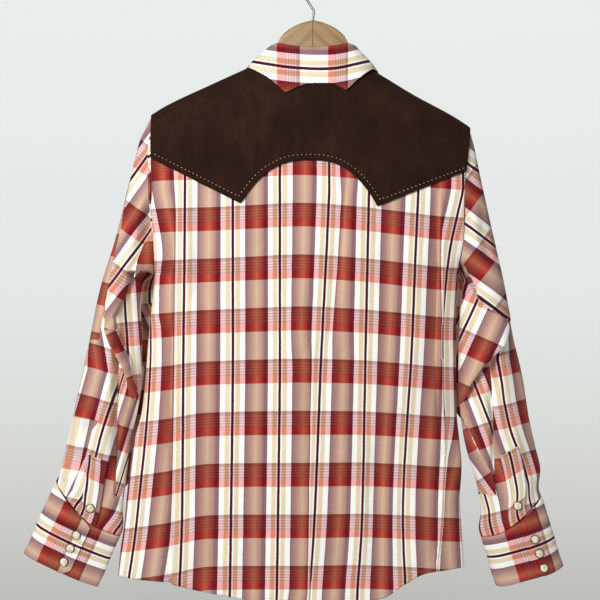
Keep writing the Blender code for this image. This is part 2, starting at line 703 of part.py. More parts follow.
def sleeve_points(side, turns):
    """Rows of points down a sleeve, each row at the given angles from the sleeve's outer edge."""
    outer, inner, deep = sleeve_sections(side)
    rows = []
    top, low = ARMHOLE_TOP[side], UNDERARM
    upper = np.clip(np.cos(turns), 0, 1)
    down = (top + low) / 2 - (low - top) / 2 * np.cos(turns) - ARMHOLE_FULLER * upper
    x = side_x(side, down) + side * ARMHOLE_SEAM
    rows.append(np.stack([x, (ARMHOLE_HALF_DEPTH + ARMHOLE_FULLER * upper) * np.sin(turns), -down], axis=-1))
    for a, b, half in zip(outer, inner, deep):
        middle, reach = (a + b) / 2, (a - b) / 2
        row = middle + reach * np.cos(turns)[:, None] + np.array((0, 1, 0)) * (half * np.sin(turns))[:, None]
        rows.append(row)
    for above in SLEEVE_END:
        rows.append(cuff_point(side, turns, -cuff_top(side, turns) - above))
    rows = np.array(rows)
    along = np.linspace(0, 1, len(rows))[:, None]
    degrees = np.degrees(turns)[None, :]
    dent = np.zeros(rows.shape[:2])
    for i in range(len(SLEEVE_DENTS["along"])):
        far = (along - SLEEVE_DENTS["along"][i]) / SLEEVE_DENTS["reach_along"][i]
        off = (degrees - SLEEVE_DENTS["round"][i] + 180) % 360 - 180
        dent += SLEEVE_DENTS["deep"][i] * np.exp(-(far**2) - (off / SLEEVE_DENTS["reach_round"][i]) ** 2)
    rows[..., 1] -= np.sign(rows[..., 1]) * np.minimum(dent, np.abs(rows[..., 1]) * DENT_MOST)
    return rows


def sleeve(side, name):
    turns = side * np.radians(np.arange(SLEEVE_AROUND) * 360 / SLEEVE_AROUND)
    sheet(f"sleeve_{name}", [sleeve_points(side, turns)], closed=True)


def along_rows(rows, places):
    """Read points at shares of the way along a sleeve's rows."""
    at = np.asarray(places) * (len(rows) - 1)
    i = np.clip(at.astype(int), 0, len(rows) - 2)
    t = (at - i)[:, None, None]
    return rows[i] * (1 - t) + rows[i + 1] * t


def sleeve_placket(side, name):
    """A strip on the back of the sleeve above the cuff, with one snap."""
    start, end, angle = SLEEVE_PLACKET[side]
    places = np.linspace(start, end, 9)
    pair = np.radians(np.array([angle - PLACKET_SPAN / 2, angle + PLACKET_SPAN / 2]))
    middle = along_rows(sleeve_points(side, pair), places)
    per_degree = np.linalg.norm(middle[:, 1] - middle[:, 0], axis=-1) / PLACKET_SPAN
    shares = np.array([-0.5, -0.25, 0, 0.25, 0.5]) * side
    strip = []
    for k, place in enumerate(places):
        turns = np.radians(angle + shares * PLACKET_WIDTH / per_degree[k])
        strip.append(along_rows(sleeve_points(side, turns), [place])[0])
    points = moved_out(np.array(strip), SLEEVE_PLACKET_OVER)
    sheet(f"sleeve_placket_{name}", [points])
    k = int(round((SLEEVE_SNAP - start) / (end - start) * 8))
    rows, columns = np.gradient(points, axis=0), np.gradient(points, axis=1)
    snap(f"sleeve_snap_{name}", snap_mesh(), points[k, 2], np.cross(rows[k, 2], columns[k, 2]))


CUFF_COLUMNS = 30
CUFF_LEVELS = (0, 0.15, 0.4, 0.7, 1)


def cuff_turns(side):
    """Start and end angles of a cuff's strip, which laps over itself on the back."""
    cuff = CUFFS[side]
    start = -math.acos((cuff["edge"] + CUFF_OVERLAP) / cuff["half_width"])
    end = -2 * math.pi - math.acos(cuff["edge"] / cuff["half_width"])
    return start, end


CUFF_LAP_FULL, CUFF_LAP_RISE = math.radians(14), math.radians(50)
CUFF_LAP_CLEAR = 1.05  # the curved lap stands off by this much more than a flat one


def cuff_over(side, turn):
    """How far the upper end of the strip stands off the lower one."""
    start, _ = cuff_turns(side)
    full = start - 2 * math.pi + CUFF_LAP_FULL
    return OVER * CUFF_LAP_CLEAR * ease((full + CUFF_LAP_RISE - turn) / CUFF_LAP_RISE)


def cuff(side, name):
    start, end = cuff_turns(side)
    turns = np.linspace(start, end, CUFF_COLUMNS)
    length = CUFFS[side]["length"]
    near_end = np.clip(1 - (turns - end) * CUFFS[side]["half_width"] / CUFF_ROUND, 0, 1) ** 2
    top = -cuff_top(side, turns) + CUFF_CORNER_TOP * near_end
    low = length - CUFF_CORNER_LOW * near_end
    rows = [cuff_point(side, turns, top + (low - top) * t, cuff_over(side, turns)) for t in CUFF_LEVELS]
    points = np.array(rows)
    sheet(f"cuff_{name}", [points if side < 0 else points[:, ::-1]])
    inside = (CUFFS[side]["edge"] + CUFF_SNAP_IN) / CUFFS[side]["half_width"]
    turn = np.array([-2 * math.pi - math.acos(inside)])
    for i, level in enumerate(CUFF_SNAPS):
        here = cuff_point(side, turn, np.array([float(level)]), cuff_over(side, turn))[0]
        beside = cuff_point(side, turn + 0.01, np.array([float(level)]), cuff_over(side, turn))[0]
        _, _, along = cuff_axes(side)
        normal = np.cross(along, beside - here)
        snap(f"cuff_snap_{name}_{i + 1}", snap_mesh(), here, normal if normal[1] < 0 else -normal)


def main():
    for thing in list(bpy.data.objects):
        bpy.data.objects.remove(thing)
    hanger_body()
    hanger_hook()
    back_yoke()
    back_panel()
    front_panels()
    front_placket()
    collar_stand()
    collar_fall()
    for side, name in ((-1, "left"), (1, "right")):
        sleeve(side, name)
        sleeve_placket(side, name)
        cuff(side, name)


main()
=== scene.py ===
"""Looks of a western snap shirt on a wooden hanger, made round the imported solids.

Lengths are in millimetres until a mesh is made. The origin is the inside top of the hanger's hook, +Z is up,
and the shirt's back faces -Y. "down" is the distance below the origin, "side" is -1 at -X and +1 at +X, and
"face" is -1 on the back and +1 on the front. A cloth piece is a grid of points whose rows run down and whose
columns run anticlockwise from above, with its place in the woven check at each point: "warp" across the
warp threads and "weft" along them. Places on the back are given where they appear on the middle plane to
someone at VIEW, because the cloth stands off that plane.
"""

import math

import bpy
import numpy as np
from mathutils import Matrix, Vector


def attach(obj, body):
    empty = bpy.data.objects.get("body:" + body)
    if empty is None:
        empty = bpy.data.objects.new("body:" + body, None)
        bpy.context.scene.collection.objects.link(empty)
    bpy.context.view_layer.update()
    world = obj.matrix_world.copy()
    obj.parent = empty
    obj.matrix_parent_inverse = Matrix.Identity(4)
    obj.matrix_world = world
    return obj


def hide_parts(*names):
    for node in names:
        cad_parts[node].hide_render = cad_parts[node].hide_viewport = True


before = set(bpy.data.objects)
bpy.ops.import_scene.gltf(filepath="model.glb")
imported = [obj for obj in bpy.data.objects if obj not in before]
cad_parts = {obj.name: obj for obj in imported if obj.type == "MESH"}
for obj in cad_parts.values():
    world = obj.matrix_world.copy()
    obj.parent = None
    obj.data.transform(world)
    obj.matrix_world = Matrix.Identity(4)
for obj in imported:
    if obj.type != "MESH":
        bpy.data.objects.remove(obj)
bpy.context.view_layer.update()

METRES = 0.001
CLOTH = 1.0
DOUBLED = 1.4  # collar, cuffs and plackets are two cloths thick
HIDE = 1.3
OVER = 2.0  # from the middle of one cloth to the middle of the next one on it
YOKE_OVER = 2.5
SEAM = 0.3
GAP = 0.3
VIEW = {"x": -17.6, "down": 445.2, "far": 1500.0}
BACK_STANDS = -32.0  # the back's usual distance from the middle plane

# Body: its two side edges, and how far its back and front reach from the middle plane.
BODY = {
    "down": (190, 232, 271, 313, 356, 407, 441, 500, 560, 598, 634, 669, 711, 753, 792, 870),
    "left": (-216.5, -216, -215, -215, -213, -213.5, -216, -222,
             -226.5, -231, -241, -246, -251, -255, -260.5, -266),
    "right": (212, 208, 203, 200.5, 200.5, 195, 193.5, 192.5, 193, 193.5, 197, 200, 198, 200, 203, 206),
}
DEPTH = {
    "down": (100, 200, 300, 407, 560, 700, 870),
    "back": (28, 31, 34, 36, 33, 29, 26),
    "front": (28, 33, 36, 38, 35, 31, 28),
}
RIDGE = {
    "x": (-217, -196, -138.5, -90.5, -78, -40, 0, 40, 78, 86.5, 129.5, 208, 213),
    "down": (198.5, 185.8, 158.7, 136.9, 131.2, 117.5, 113.5, 120.5, 137.5, 142.5, 168.7, 213.6, 218.5),
}
SHOULDER_ROUND = 60
SIDE_POWER = 2.6
SIDE_SOFTENS = 60  # the section changes over this length above the underarm
GIRTH_STEPS = 21
UNDERARM = 407
ARMHOLE_TOP = {-1: 199, 1: 217}
ARMHOLE_HALF_DEPTH = 26
ARMHOLE_SEAM = 0.3
ARMHOLE_FULLER = 2
HEM = {
    "x": (-266, -249, -195, -159, -94.6, -49.4, 0, 58.6, 93, 120.5, 151, 206),
    "down": (816.5, 818, 822, 830, 842, 848.7, 849.6, 846.7, 841.3, 824.6, 810, 804),
}
HEM_TURNED = 7  # from the edge to the stitches of the turned-up hem

# Yoke, neck and collar.
YOKE_BAY = (-4.3, 260.8)
YOKE_POINTS = {-1: (-95.6, 318.2), 1: (84.7, 322.1)}
YOKE_ENDS = {-1: (-216, 257.5), 1: (204, 276.7)}
YOKE_BAY_POWER = 2.6
YOKE_UNDER = 12
YOKE_FRONT = 35
SHOULDER_END = 210
NECK_HALF_WIDTH = 78
NECK_DOWN = 132
NECK_TILT = 0.042
NECK_DROP = {-1: 9, 1: 64}
COLLAR_FOLD = {
    "angle": (0, 30, 60, 90, 120, 150, 180, 200),
    "down": (111.5, 108.3, 103.8, 107.2, 125, 152, 172, 176),
    "y": (-22, -19, -12, -1, 14, 29, 36, 36),
    "roll": (3.4, 3.4, 3.4, 3.6, 5, 7.2, 7.2, 7.2),
}
COLLAR_FOLD_HALF_WIDTH = 54
FALL_EDGE = {
    -1: {
        "angle": (0, 10, 36, 55, 78, 98, 115, 132, 150, 165, 176),
        "x": (1, -9.5, -36.6, -60.2, -86.6, -90, -90, -86, -78, -64, -48),
        "y": (-34.6, -34.6, -36, -31.5, -11.8, 5, 19, 33, 40, 43, 44),
        "down": (158.9, 160.1, 171.6, 150.9, 134.2, 132.5, 139, 158, 191, 217, 238),
    },
    1: {
        "angle": (0, 14, 40, 62, 84, 100, 116, 133, 150, 165, 176),
        "x": (1, 19.2, 43.4, 62.8, 81.8, 88, 89, 86, 78, 64, 48),
        "y": (-34.6, -34.6, -36, -30, -11.5, 5, 18, 32, 40, 43, 44),
        "down": (158.9, 158.9, 168.5, 150.1, 136, 137.5, 146, 165, 192, 217, 238),
    },
}
STAND_INSIDE = 1.8
STAND_RAISED = 1.15
STAND_OVERLAP = 9
STAND_LAP_FROM, STAND_LAP_RISE = 155, 20

# Sleeves: each row is a section from its outer edge to its inner edge, and its half depth.
SLEEVES = {
    -1: {
        "out_x": (-224.5, -232, -238.3, -247, -264, -285, -301, -318, -327.5, -335, -341),
        "out_down": (213, 228, 251, 286, 356, 425, 500, 577.5, 622, 653, 679),
        "in_x": (-217, -220, -223, -226, -229.5, -232.5, -231, -235.8, -247, -253, -257),
        "in_down": (409.5, 412, 415, 418, 424, 450, 505, 585, 640, 688, 724),
        "half_depth": (27, 29, 31, 33, 34, 34, 33, 31, 28, 24, 19),
    },
    1: {
        "out_x": (216, 221, 225.5, 232, 246, 257, 269, 281, 291, 299, 306),
        "out_down": (236, 260, 282, 312, 376, 430, 494, 545, 606, 642, 672),
        "in_x": (198.5, 201.5, 204, 206, 204, 200, 197.2, 197.6, 206, 222, 227),
        "in_down": (409.5, 412, 415, 418, 426, 452, 505, 570, 640, 696, 730),
        "half_depth": (27, 29, 31, 33, 34, 34, 33, 31, 28, 26, 23),
    },
}
CUFFS = {
    -1: {"x": -310.2, "down": 741, "lean": 25, "length": 74,
         "half_width": 54.3, "half_depth": 14, "edge": -14.3},
    1: {"x": 271.2, "down": 750.8, "lean": 17, "length": 69,
        "half_width": 46.2, "half_depth": 22, "edge": 5.3},
}
CUFF_PEAK = 30
CUFF_PEAK_REACH = 70
CUFF_PEAK_POWER = 1.3
CUFF_OVERLAP = 25
CUFF_ROUND, CUFF_CORNER_TOP, CUFF_CORNER_LOW = 12, 4, 9
PLACKET_WIDTH = 27
SLEEVE_PLACKET = {-1: (0.735, 0.985, -97), 1: (0.735, 0.985, -83)}  # from, to, angle round the sleeve
FRONT_PLACKET_WIDTH = 32
FRONT_UNDERLAP = 14
FRONT_LAP_RISE = 40

# Woven check: its repeat across the warp and along it.
WARP_REPEAT = 64.5
WEFT_REPEAT = 69.3

# Dark warp lines of the back: where each appears at five levels.
BACK_LINES = {
    "down": (296.7, 397, 499.2, 742.2, 843.5),
    "x": (
        (-234, -218.6, -218.7, -237.6, -251.8),
        (-172.8, -173.5, -174.7, -176.9, -180.9),
        (-108.3, -108.2, -108, -110.7, -112.3),
        (-44.8, -44.7, -44.6, -47.3, -49),
        (22, 17.3, 11.9, 1.8, -5.4),
        (75.5, 73.4, 71.1, 66.2, 59.4),
        (142.2, 137.7, 133.7, 121.2, 125),
        (202.5, 181.8, 174.2, 180, 182),
    ),
}
# Folds that take up cloth between two of those lines: the line before it, and the fold's path.
BACK_TUCKS = {
    "after": (0, 3, 4, 6),
    "down": ((296, 850), (520, 850), (296, 500), (296, 640)),
    "x": ((-185, -192), (-2, -6.5), (43, 26), (171, 178)),
}
TUCK_WIDE = 1.6
TUCK_BEYOND, TUCK_FADES = 40, 60  # how far past its ends a tuck reaches, and over what length it fades
LINE_LEVELS = (240, 880, 60)  # the first, the last and the number of levels at which the lines are read
# The fold at the lower right, which takes in the last dark line and the cloth beside it.
LOW_FOLD = {"down": (590, 645, 742, 810, 870), "x": (176, 180, 175.5, 167.5, 162)}
LOW_FOLD_TAKES, LOW_FOLD_STARTS, LOW_FOLD_DEEPENS = 34.0, 24.0, 130.0
# Top of the red weft bands across the back: how much lower they lie than in the middle of the left half.
BAND_DROOP = {
    "x": (-250, -200, -140, -80, -17.5, 60, 120, 168.7, 200),
    "high": (5, 1.5, 0, -3, -6, -1, 6, 12, 14),
    "low": (18, 11, 0, -1, -1, -2, 0, 3, 4),
}
BAND_HIGH, BAND_LOW = 310, 740
BAND_TOP = 319.7


def between(places, values, at):
    """Read a smooth curve through a table's values, which never passes beyond them."""
    places, values = np.asarray(places, float), np.asarray(values, float)
    at = np.clip(at, places[0], places[-1])
    step = np.diff(places)
    rise = np.diff(values) / step
    slope = np.zeros(len(places))
    slope[0], slope[-1] = rise[0], rise[-1]
    same = rise[1:] * rise[:-1] > 0
    slope[1:-1][same] = 2 * rise[1:][same] * rise[:-1][same] / (rise[1:] + rise[:-1])[same]
    i = np.clip(np.searchsorted(places, at, side="right") - 1, 0, len(step) - 1)
    t = (at - places[i]) / step[i]
    ends = values[i] * (1 + 2 * t) * (1 - t) ** 2 + values[i + 1] * t * t * (3 - 2 * t)
    return ends + slope[i] * step[i] * t * (1 - t) ** 2 + slope[i + 1] * step[i] * t * t * (t - 1)


def ease(t):
    """Go smoothly from 0 to 1."""
    t = np.clip(t, 0, 1)
    return t * t * (3 - 2 * t)


def soft_step(off, wide):
    """Go from 0 to 1 across a line."""
    return 0.5 + 0.5 * np.tanh(off / wide)


def even(count, power=1.0):
    """Shares from 0 to 1, closer together near 0 for a power over 1."""
    return np.linspace(0, 1, count) ** power


def seen(x, down, y):
    """Where a place appears on the middle plane to someone at VIEW."""
    larger = VIEW["far"] / (VIEW["far"] + y)
    return VIEW["x"] + (x - VIEW["x"]) * larger, VIEW["down"] + (down - VIEW["down"]) * larger


# Creases

CREASE_FADES = 40.0  # a crease fades over this length at each end, or over a third of a short one


def beside(line, x, down):
    """Distance of points to the right of a line of (x, down) corners walked downwards, and how far along."""
    line = np.asarray(line, float)
    best, signed, along, passed = None, None, None, 0.0
    for a, b in zip(line, line[1:]):
        reach = b - a
        length = np.hypot(*reach)
        t = ((x - a[0]) * reach[0] + (down - a[1]) * reach[1]) / length**2
        t = np.clip(t, 0, 1)
        off_x, off_down = x - a[0] - t * reach[0], down - a[1] - t * reach[1]
        far = np.hypot(off_x, off_down)
        right = (off_x * reach[1] - off_down * reach[0]) / length
        here = far if best is None else np.minimum(far, best)
        closer = np.ones_like(far, bool) if best is None else far < best
        signed = np.where(closer, np.where(right < 0, -far, far), 0 if signed is None else signed)
        along = np.where(closer, passed + t * length, 0 if along is None else along)
        best, passed = here, passed + length
    return signed, along, passed


def crease(row, x, down):
    """Height of one crease: a soft trough or ridge, or a fold with a raised side and a hollow side."""
    line, height, reach, *fold = row
    off, along, length = beside(line, x, down)
    fade = min(CREASE_FADES, length / 3)
    ends = ease(along / fade) * ease((length - along) / fade)
    if not fold:
        return height * ends * np.exp(-((off / reach) ** 2))
    hollow, hollow_reach, sharp = fold
    right = soft_step(off, sharp)
    raised = height * np.exp(-np.abs(off) / reach)
    sunk = -hollow * np.exp(-np.abs(off) / hollow_reach)
    return ends * (raised * right + sunk * (1 - right))


# Creases: the line, and the height and reach of a soft crease. A fold's line is walked with the raised side
# on its right, and its row also has the depth and reach of the hollow side, and how sharp the step is.
BACK_CREASES = (
    (((-186, 340), (-187, 420), (-188, 470), (-191, 560), (-190, 700), (-193, 860)), 4.5, 30, 11, 8, 2),
    (((-156, 270), (-157, 350), (-154, 460)), -3.5, 8),
    (((-166, 300), (-170, 420), (-168, 560)), 3.0, 9),
    (((47, 296), (40, 380), (26, 500), (20, 600)), 3.0, 22, 4, 10, 3),
    (((-2, 540), (-4, 640), (-5, 760), (-6.5, 880)), 2.0, 26, 4.5, 9, 1.8),
    (((168, 290), (173, 400), (170, 520), (176, 645)), 6, 16, 11, 8, 2),
    (((181, 640), (172, 720), (165, 830)), 2.5, 18, 4, 10, 2.5),
    (((100, 330), (104, 460), (98, 600)), -2.0, 14),
    (((-75, 340), (-70, 480), (-78, 620)), -1.6, 18),
    (((-20, 400), (-26, 560), (-20, 700)), 1.6, 16),
    (((-128, 520), (-134, 660), (-140, 840)), -2.5, 12),
    (((-60, 600), (-62, 730), (-70, 850)), -2.2, 13),
    (((88, 600), (84, 720), (90, 850)), -2.6, 12),
    (((130, 640), (138, 740), (140, 830)), 2.2, 12),
    (((40, 660), (34, 760), (36, 850)), -1.8, 12),
    (((-225, 560), (-222, 680), (-232, 820)), -3.0, 10),
    (((-205, 600), (-208, 720), (-214, 820)), 2.0, 9),
    (((-60, 150), (-110, 190), (-170, 235)), 0.9, 16),
    (((70, 160), (120, 205), (170, 250)), 0.8, 18),
    (((-20, 180), (-24, 215), (-16, 255)), -0.7, 18),
)
FRONT_CREASES = (
    (((-120, 250), (-132, 420), (-150, 700)), -6, 15),
    (((-60, 330), (-72, 520), (-70, 820)), -3.5, 14),
    (((-170, 330), (-178, 520), (-190, 800)), 3.5, 14),
    (((120, 260), (132, 430), (150, 720)), -6, 15),
    (((62, 300), (72, 520), (66, 820)), -3.5, 14),
    (((165, 300), (160, 480), (168, 800)), 3.5, 13),
    (((95, 420), (104, 600), (110, 820)), 2.5, 13),
    (((-100, 420), (-110, 620), (-112, 820)), 2.5, 13),
)
BACK_CREASED = 1.7  # how much deeper the back's creases are than their rows say


def creases(rows, x, down):
    """Height of several creases together."""
    height = 0 * x
    for row in rows:
        height = height + crease(row, x, down)
    return height


# The body's form


def side_x(side, down):
    return between(BODY["down"], BODY["left" if side < 0 else "right"], down)


def ridge(x):
    return between(RIDGE["x"], RIDGE["down"], x)


def armhole_depth(x, down):
    """Half depth at the armholes: an ellipse from the ridge to the underarm."""
    top = ridge(x)
    off = (2 * down - top - UNDERARM) / (UNDERARM - top)
    return ARMHOLE_HALF_DEPTH * np.sqrt(np.clip(1 - off * off, 0, 1))


def body_y(face, x, down, creased=True):
    """The middle of the body's cloth at a place on its back or front."""
    x, down = np.broadcast_arrays(np.asarray(x, float), np.asarray(down, float))
    left, right = side_x(-1, down), side_x(1, down)
    across = np.clip((2 * x - left - right) / (right - left), -1, 1)
    below = np.clip((down - ridge(x)) / SHOULDER_ROUND, 0, 1)
    full = between(DEPTH["down"], DEPTH["back" if face < 0 else "front"], down)
    full = full * np.sqrt(1 - (1 - below) ** 2)
    if creased and face < 0:
        full = full + BACK_CREASED * creases(BACK_CREASES, *seen(x, down, BACK_STANDS))
    elif creased:
        full = full + creases(FRONT_CREASES, x, down)
    edge = armhole_depth(x, down)
    roundness = 1 - 0.5 * ease((down - UNDERARM + SIDE_SOFTENS) / SIDE_SOFTENS)
    inner = np.clip(1 - np.abs(across) ** SIDE_POWER, 0, 1) ** roundness
    return face * (edge * (1 - inner) + full * inner + SEAM)


def body_points(face, x, down):
    return np.stack([x + 0 * down, body_y(face, x, down), -down - 0 * x], axis=-1)


def girth(face, x, down):
    """Distance along the plain cloth from the middle to a place, negative at -X."""
    shares = np.sin(np.linspace(0, math.pi / 2, GIRTH_STEPS))
    length, last = 0 * x, None
    for share in shares:
        here = body_y(face, x * share, down, creased=False)
        if last is not None:
            length = length + np.hypot(here - last[0], x * (share - last[1]))
        last = (here, share)
    return np.sign(x) * length


def normals(points):
    rows, columns = np.gradient(points, axis=0), np.gradient(points, axis=1)
    normal = np.cross(rows, columns)
    return normal / np.maximum(np.linalg.norm(normal, axis=-1, keepdims=True), 1e-9)


def moved_out(points, distance):
    """Move a sheet's points out from its face, along the sheet's own normals."""
    return points + normals(points) * np.asarray(distance)


def warp_lines(down):
    """Where each dark line of the back is at a level, along the cloth from the middle."""
    levels = np.linspace(*LINE_LEVELS)
    lines = []
    for row in BACK_LINES["x"]:
        at = girth(-1, between(BACK_LINES["down"], row, levels), levels)
        lines.append(np.interp(down, levels, at))
    return lines


def low_fold(x, down, here, lines):
    """Place across the warp threads by the low fold, and how much of it counts."""
    below = down - LOW_FOLD["down"][0]
    fold = np.interp(down, LOW_FOLD["down"], LOW_FOLD["x"])
    # It starts as the tuck above it, and takes in more cloth on its way down.
    hidden = WARP_REPEAT - (lines[-1] - lines[-2])
    taken = hidden + (LOW_FOLD_TAKES - hidden) * ease(below / LOW_FOLD_DEEPENS)
    folded = (len(lines) - 2) * WARP_REPEAT + here - lines[-2]
    folded = folded + taken * soft_step(x - fold, TUCK_WIDE)
    return folded, ease(below / LOW_FOLD_STARTS) * (here >= lines[-2])


def back_warp(x, down):
    """Place across the warp threads of the back, from its dark lines and the folds between them."""
    here, lines = girth(-1, x, down), warp_lines(down)
    warp = here - lines[0]
    for k, (a, b) in enumerate(zip(lines, lines[1:])):
        off = here - a
        spread = off * WARP_REPEAT / (b - a)
        if k in BACK_TUCKS["after"]:
            i = BACK_TUCKS["after"].index(k)
            top, low = BACK_TUCKS["down"][i]
            middle = np.interp(down, (top, low), BACK_TUCKS["x"][i])
            hidden = WARP_REPEAT - (b - a)
            tucked = off + hidden * soft_step(x - middle, TUCK_WIDE)
            fade = ease((down - top + TUCK_BEYOND) / TUCK_FADES)
            fade = fade * ease((low + TUCK_BEYOND - down) / TUCK_FADES)
            spread = spread * (1 - fade) + tucked * fade
        warp = np.where(here >= a, k * WARP_REPEAT + spread, warp)
    warp = np.where(here >= lines[-1], (len(lines) - 1) * WARP_REPEAT + here - lines[-1], warp)
    folded, share = low_fold(x, down, here, lines)
    return warp * (1 - share) + folded * share


def back_weft(x, down):
    """Place along the warp threads of the back: 0 at the top of a red band."""
    low = ease((down - BAND_HIGH) / (BAND_LOW - BAND_HIGH))
    high_droop = between(BAND_DROOP["x"], BAND_DROOP["high"], x)
    low_droop = between(BAND_DROOP["x"], BAND_DROOP["low"], x)
    return down - BAND_TOP - high_droop * (1 - low) - low_droop * low


# Meshes

SHARP_FROM = math.radians(40)


def link(thing):
    bpy.context.collection.objects.link(thing)
    return thing


def corners_of(grid):
    """The four corners of each face of a grid."""
    return np.stack([grid[:-1, :-1], grid[1:, :-1], grid[1:, 1:], grid[:-1, 1:]], axis=2)


def joined(grids):
    number, points, faces, cuts = {}, [], [], []
    for grid, warp, weft, *split in grids:
        flat = grid.reshape(-1, 3)
        index = np.empty(len(flat), int)
        for n, key in enumerate(map(tuple, np.round(flat, 3))):
            if key not in number:
                number[key] = len(points)
                points.append(flat[n] * METRES)
            index[n] = number[key]
        quads = corners_of(index.reshape(grid.shape[:2])).reshape(-1, 4)
        place = np.stack(np.broadcast_arrays(warp, weft), axis=-1) * METRES
        if split:
            rings = np.take_along_axis(quads[:, None], split[0].reshape(-1, 2, 3), axis=2).reshape(-1, 3)
        else:
            rings, place = quads, corners_of(place)
        for ring, at in zip(rings, place.reshape(*rings.shape, 2)):
            kept = [i for i in range(len(ring)) if ring[i] != ring[i - 1]]
            if len(kept) > 2:
                faces.append([int(ring[i]) for i in kept])
                cuts += [at[i] for i in kept]
    return points, faces, cuts


def shell(name, grids, material, thick=CLOTH):
    """A thin cloth shell from one grid or more."""
    points, faces, cuts = joined(grids)
    mesh = bpy.data.meshes.new(name)
    mesh.from_pydata(points, [], faces)
    layer = mesh.uv_layers.new(name="cut")
    layer.data.foreach_set("uv", np.array(cuts, float).ravel())
    mesh.shade_smooth()
    mesh.materials.append(material)
    thing = link(bpy.data.objects.new(name, mesh))
    wall = thing.modifiers.new("wall", "SOLIDIFY")
    wall.thickness = thick * METRES
    wall.offset = 0
    return thing


def solid(name, points, faces, materials, slots=None):
    """A closed mesh from points in millimetres, with one finish or several."""
    mesh = bpy.data.meshes.new(name)
    mesh.from_pydata([Vector(p) * METRES for p in points], [], faces)
    for material in materials:
        mesh.materials.append(material)
    if slots is not None:
        mesh.polygons.foreach_set("material_index", slots)
    mesh.shade_smooth()
    mesh.set_sharp_from_angle(angle=SHARP_FROM)
    return link(bpy.data.objects.new(name, mesh))


def walls_between(rings, count):
    """Faces between closed rings of points that follow each other."""
    faces = []
    for i in range(0, (rings - 1) * count, count):
        for j in range(count):
            k = (j + 1) % count
            faces.append([i + j, i + k, i + count + k, i + count + j])
    return faces


def stands_for(thing, node):
    """Attach a piece to the root, and hide the solid that it shows."""
    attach(thing, "root")
    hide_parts(node)


# Materials


def nodes_of(name):
    material = bpy.data.materials.new(name)
    material.use_nodes = True
    tree = material.node_tree
    return material, tree, tree.nodes["Principled BSDF"]


def srgb(r, g, b):
    """A colour given as three display values from 0 to 255."""
    return [((v / 255 + 0.055) / 1.055) ** 2.4 if v > 10.3 else v / 255 / 12.92 for v in (r, g, b)] + [1.0]


def maths(tree, operation, a, b=None, c=None):
    node = tree.nodes.new("ShaderNodeMath")
    node.operation = operation
    for socket, value in zip(node.inputs, (a, b, c)):
        if value is None:
            continue
        if isinstance(value, (int, float)):
            socket.default_value = value
        else:
            tree.links.new(value, socket)
    return node.outputs[0]


def mixed(tree, share, a, b, blend="MIX"):
    node = tree.nodes.new("ShaderNodeMix")
    node.data_type = "RGBA"
    node.blend_type = blend
    for socket, value in ((node.inputs[0], share), (node.inputs[6], a), (node.inputs[7], b)):
        if isinstance(value, (int, float, list, tuple)):
            socket.default_value = value
        else:
            tree.links.new(value, socket)
    return node.outputs[2]


def ramp(tree, at, stops, smooth=False):
    """A colour ramp from (place, colour) stops."""
    node = tree.nodes.new("ShaderNodeValToRGB")
    node.color_ramp.interpolation = "EASE" if smooth else "LINEAR"
    elements = node.color_ramp.elements
    while len(elements) > 1:
        elements.remove(elements[-1])
    elements[0].position, elements[0].color = stops[0]
    for place, colour in stops[1:]:
        elements.new(min(max(place, 0.0), 1.0)).color = colour
    tree.links.new(at, node.inputs[0])
    return node.outputs[0]


def noise(tree, vector, scale, detail, rough=0.5):
    """Noise over a place, with a scale for each axis."""
    spread = tree.nodes.new("ShaderNodeMapping")
    spread.inputs["Scale"].default_value = scale
    tree.links.new(vector, spread.inputs["Vector"])
    node = tree.nodes.new("ShaderNodeTexNoise")
    node.inputs["Scale"].default_value = 1.0
    node.inputs["Detail"].default_value = detail
    node.inputs["Roughness"].default_value = rough
    tree.links.new(spread.outputs[0], node.inputs["Vector"])
    return node.outputs["Fac"]


def bumped(tree, shader, height, distance, strength):
    node = tree.nodes.new("ShaderNodeBump")
    node.inputs["Distance"].default_value = distance
    node.inputs["Strength"].default_value = strength
    tree.links.new(height, node.inputs["Height"])
    tree.links.new(node.outputs[0], shader.inputs["Normal"])


def object_place(tree):
    return tree.nodes.new("ShaderNodeTexCoord").outputs["Object"]


def finished(tree, shader, colour, sockets):
    """Give a shader its colour and the values of its other sockets."""
    tree.links.new(colour, shader.inputs["Base Color"])
    for name, value in sockets.items():
        shader.inputs[name].default_value = value


def tones(*stops):
    """Stops of a ramp from (place, colour in display values)."""
    return [(place, srgb(*colour)) for place, colour in stops]


def clouded(name, scale, detail, rough, stops, sockets):
    """A finish whose colour clouds softly from one tone to the next."""
    material, tree, shader = nodes_of(name)
    cloud = noise(tree, object_place(tree), scale, detail, rough)
    finished(tree, shader, ramp(tree, cloud, tones(*stops)), sockets)
    return material


# Warp stripes of the check from one dark line to the next: what each is, and how wide.
STRIPES = (
    ("line", 1.8), ("white", 2.0), ("cream", 6.0), ("white", 6.95),
    ("edge", 5.0), ("mid", 4.5), ("tan", 4.0), ("heart", 4.5), ("tan", 4.0), ("mid", 4.5), ("edge", 5.0),
    ("white", 6.7), ("cream", 6.0), ("white", 1.75), ("line", 1.8),
)
BLEND_STRIPES = ("edge", "mid", "tan", "heart")
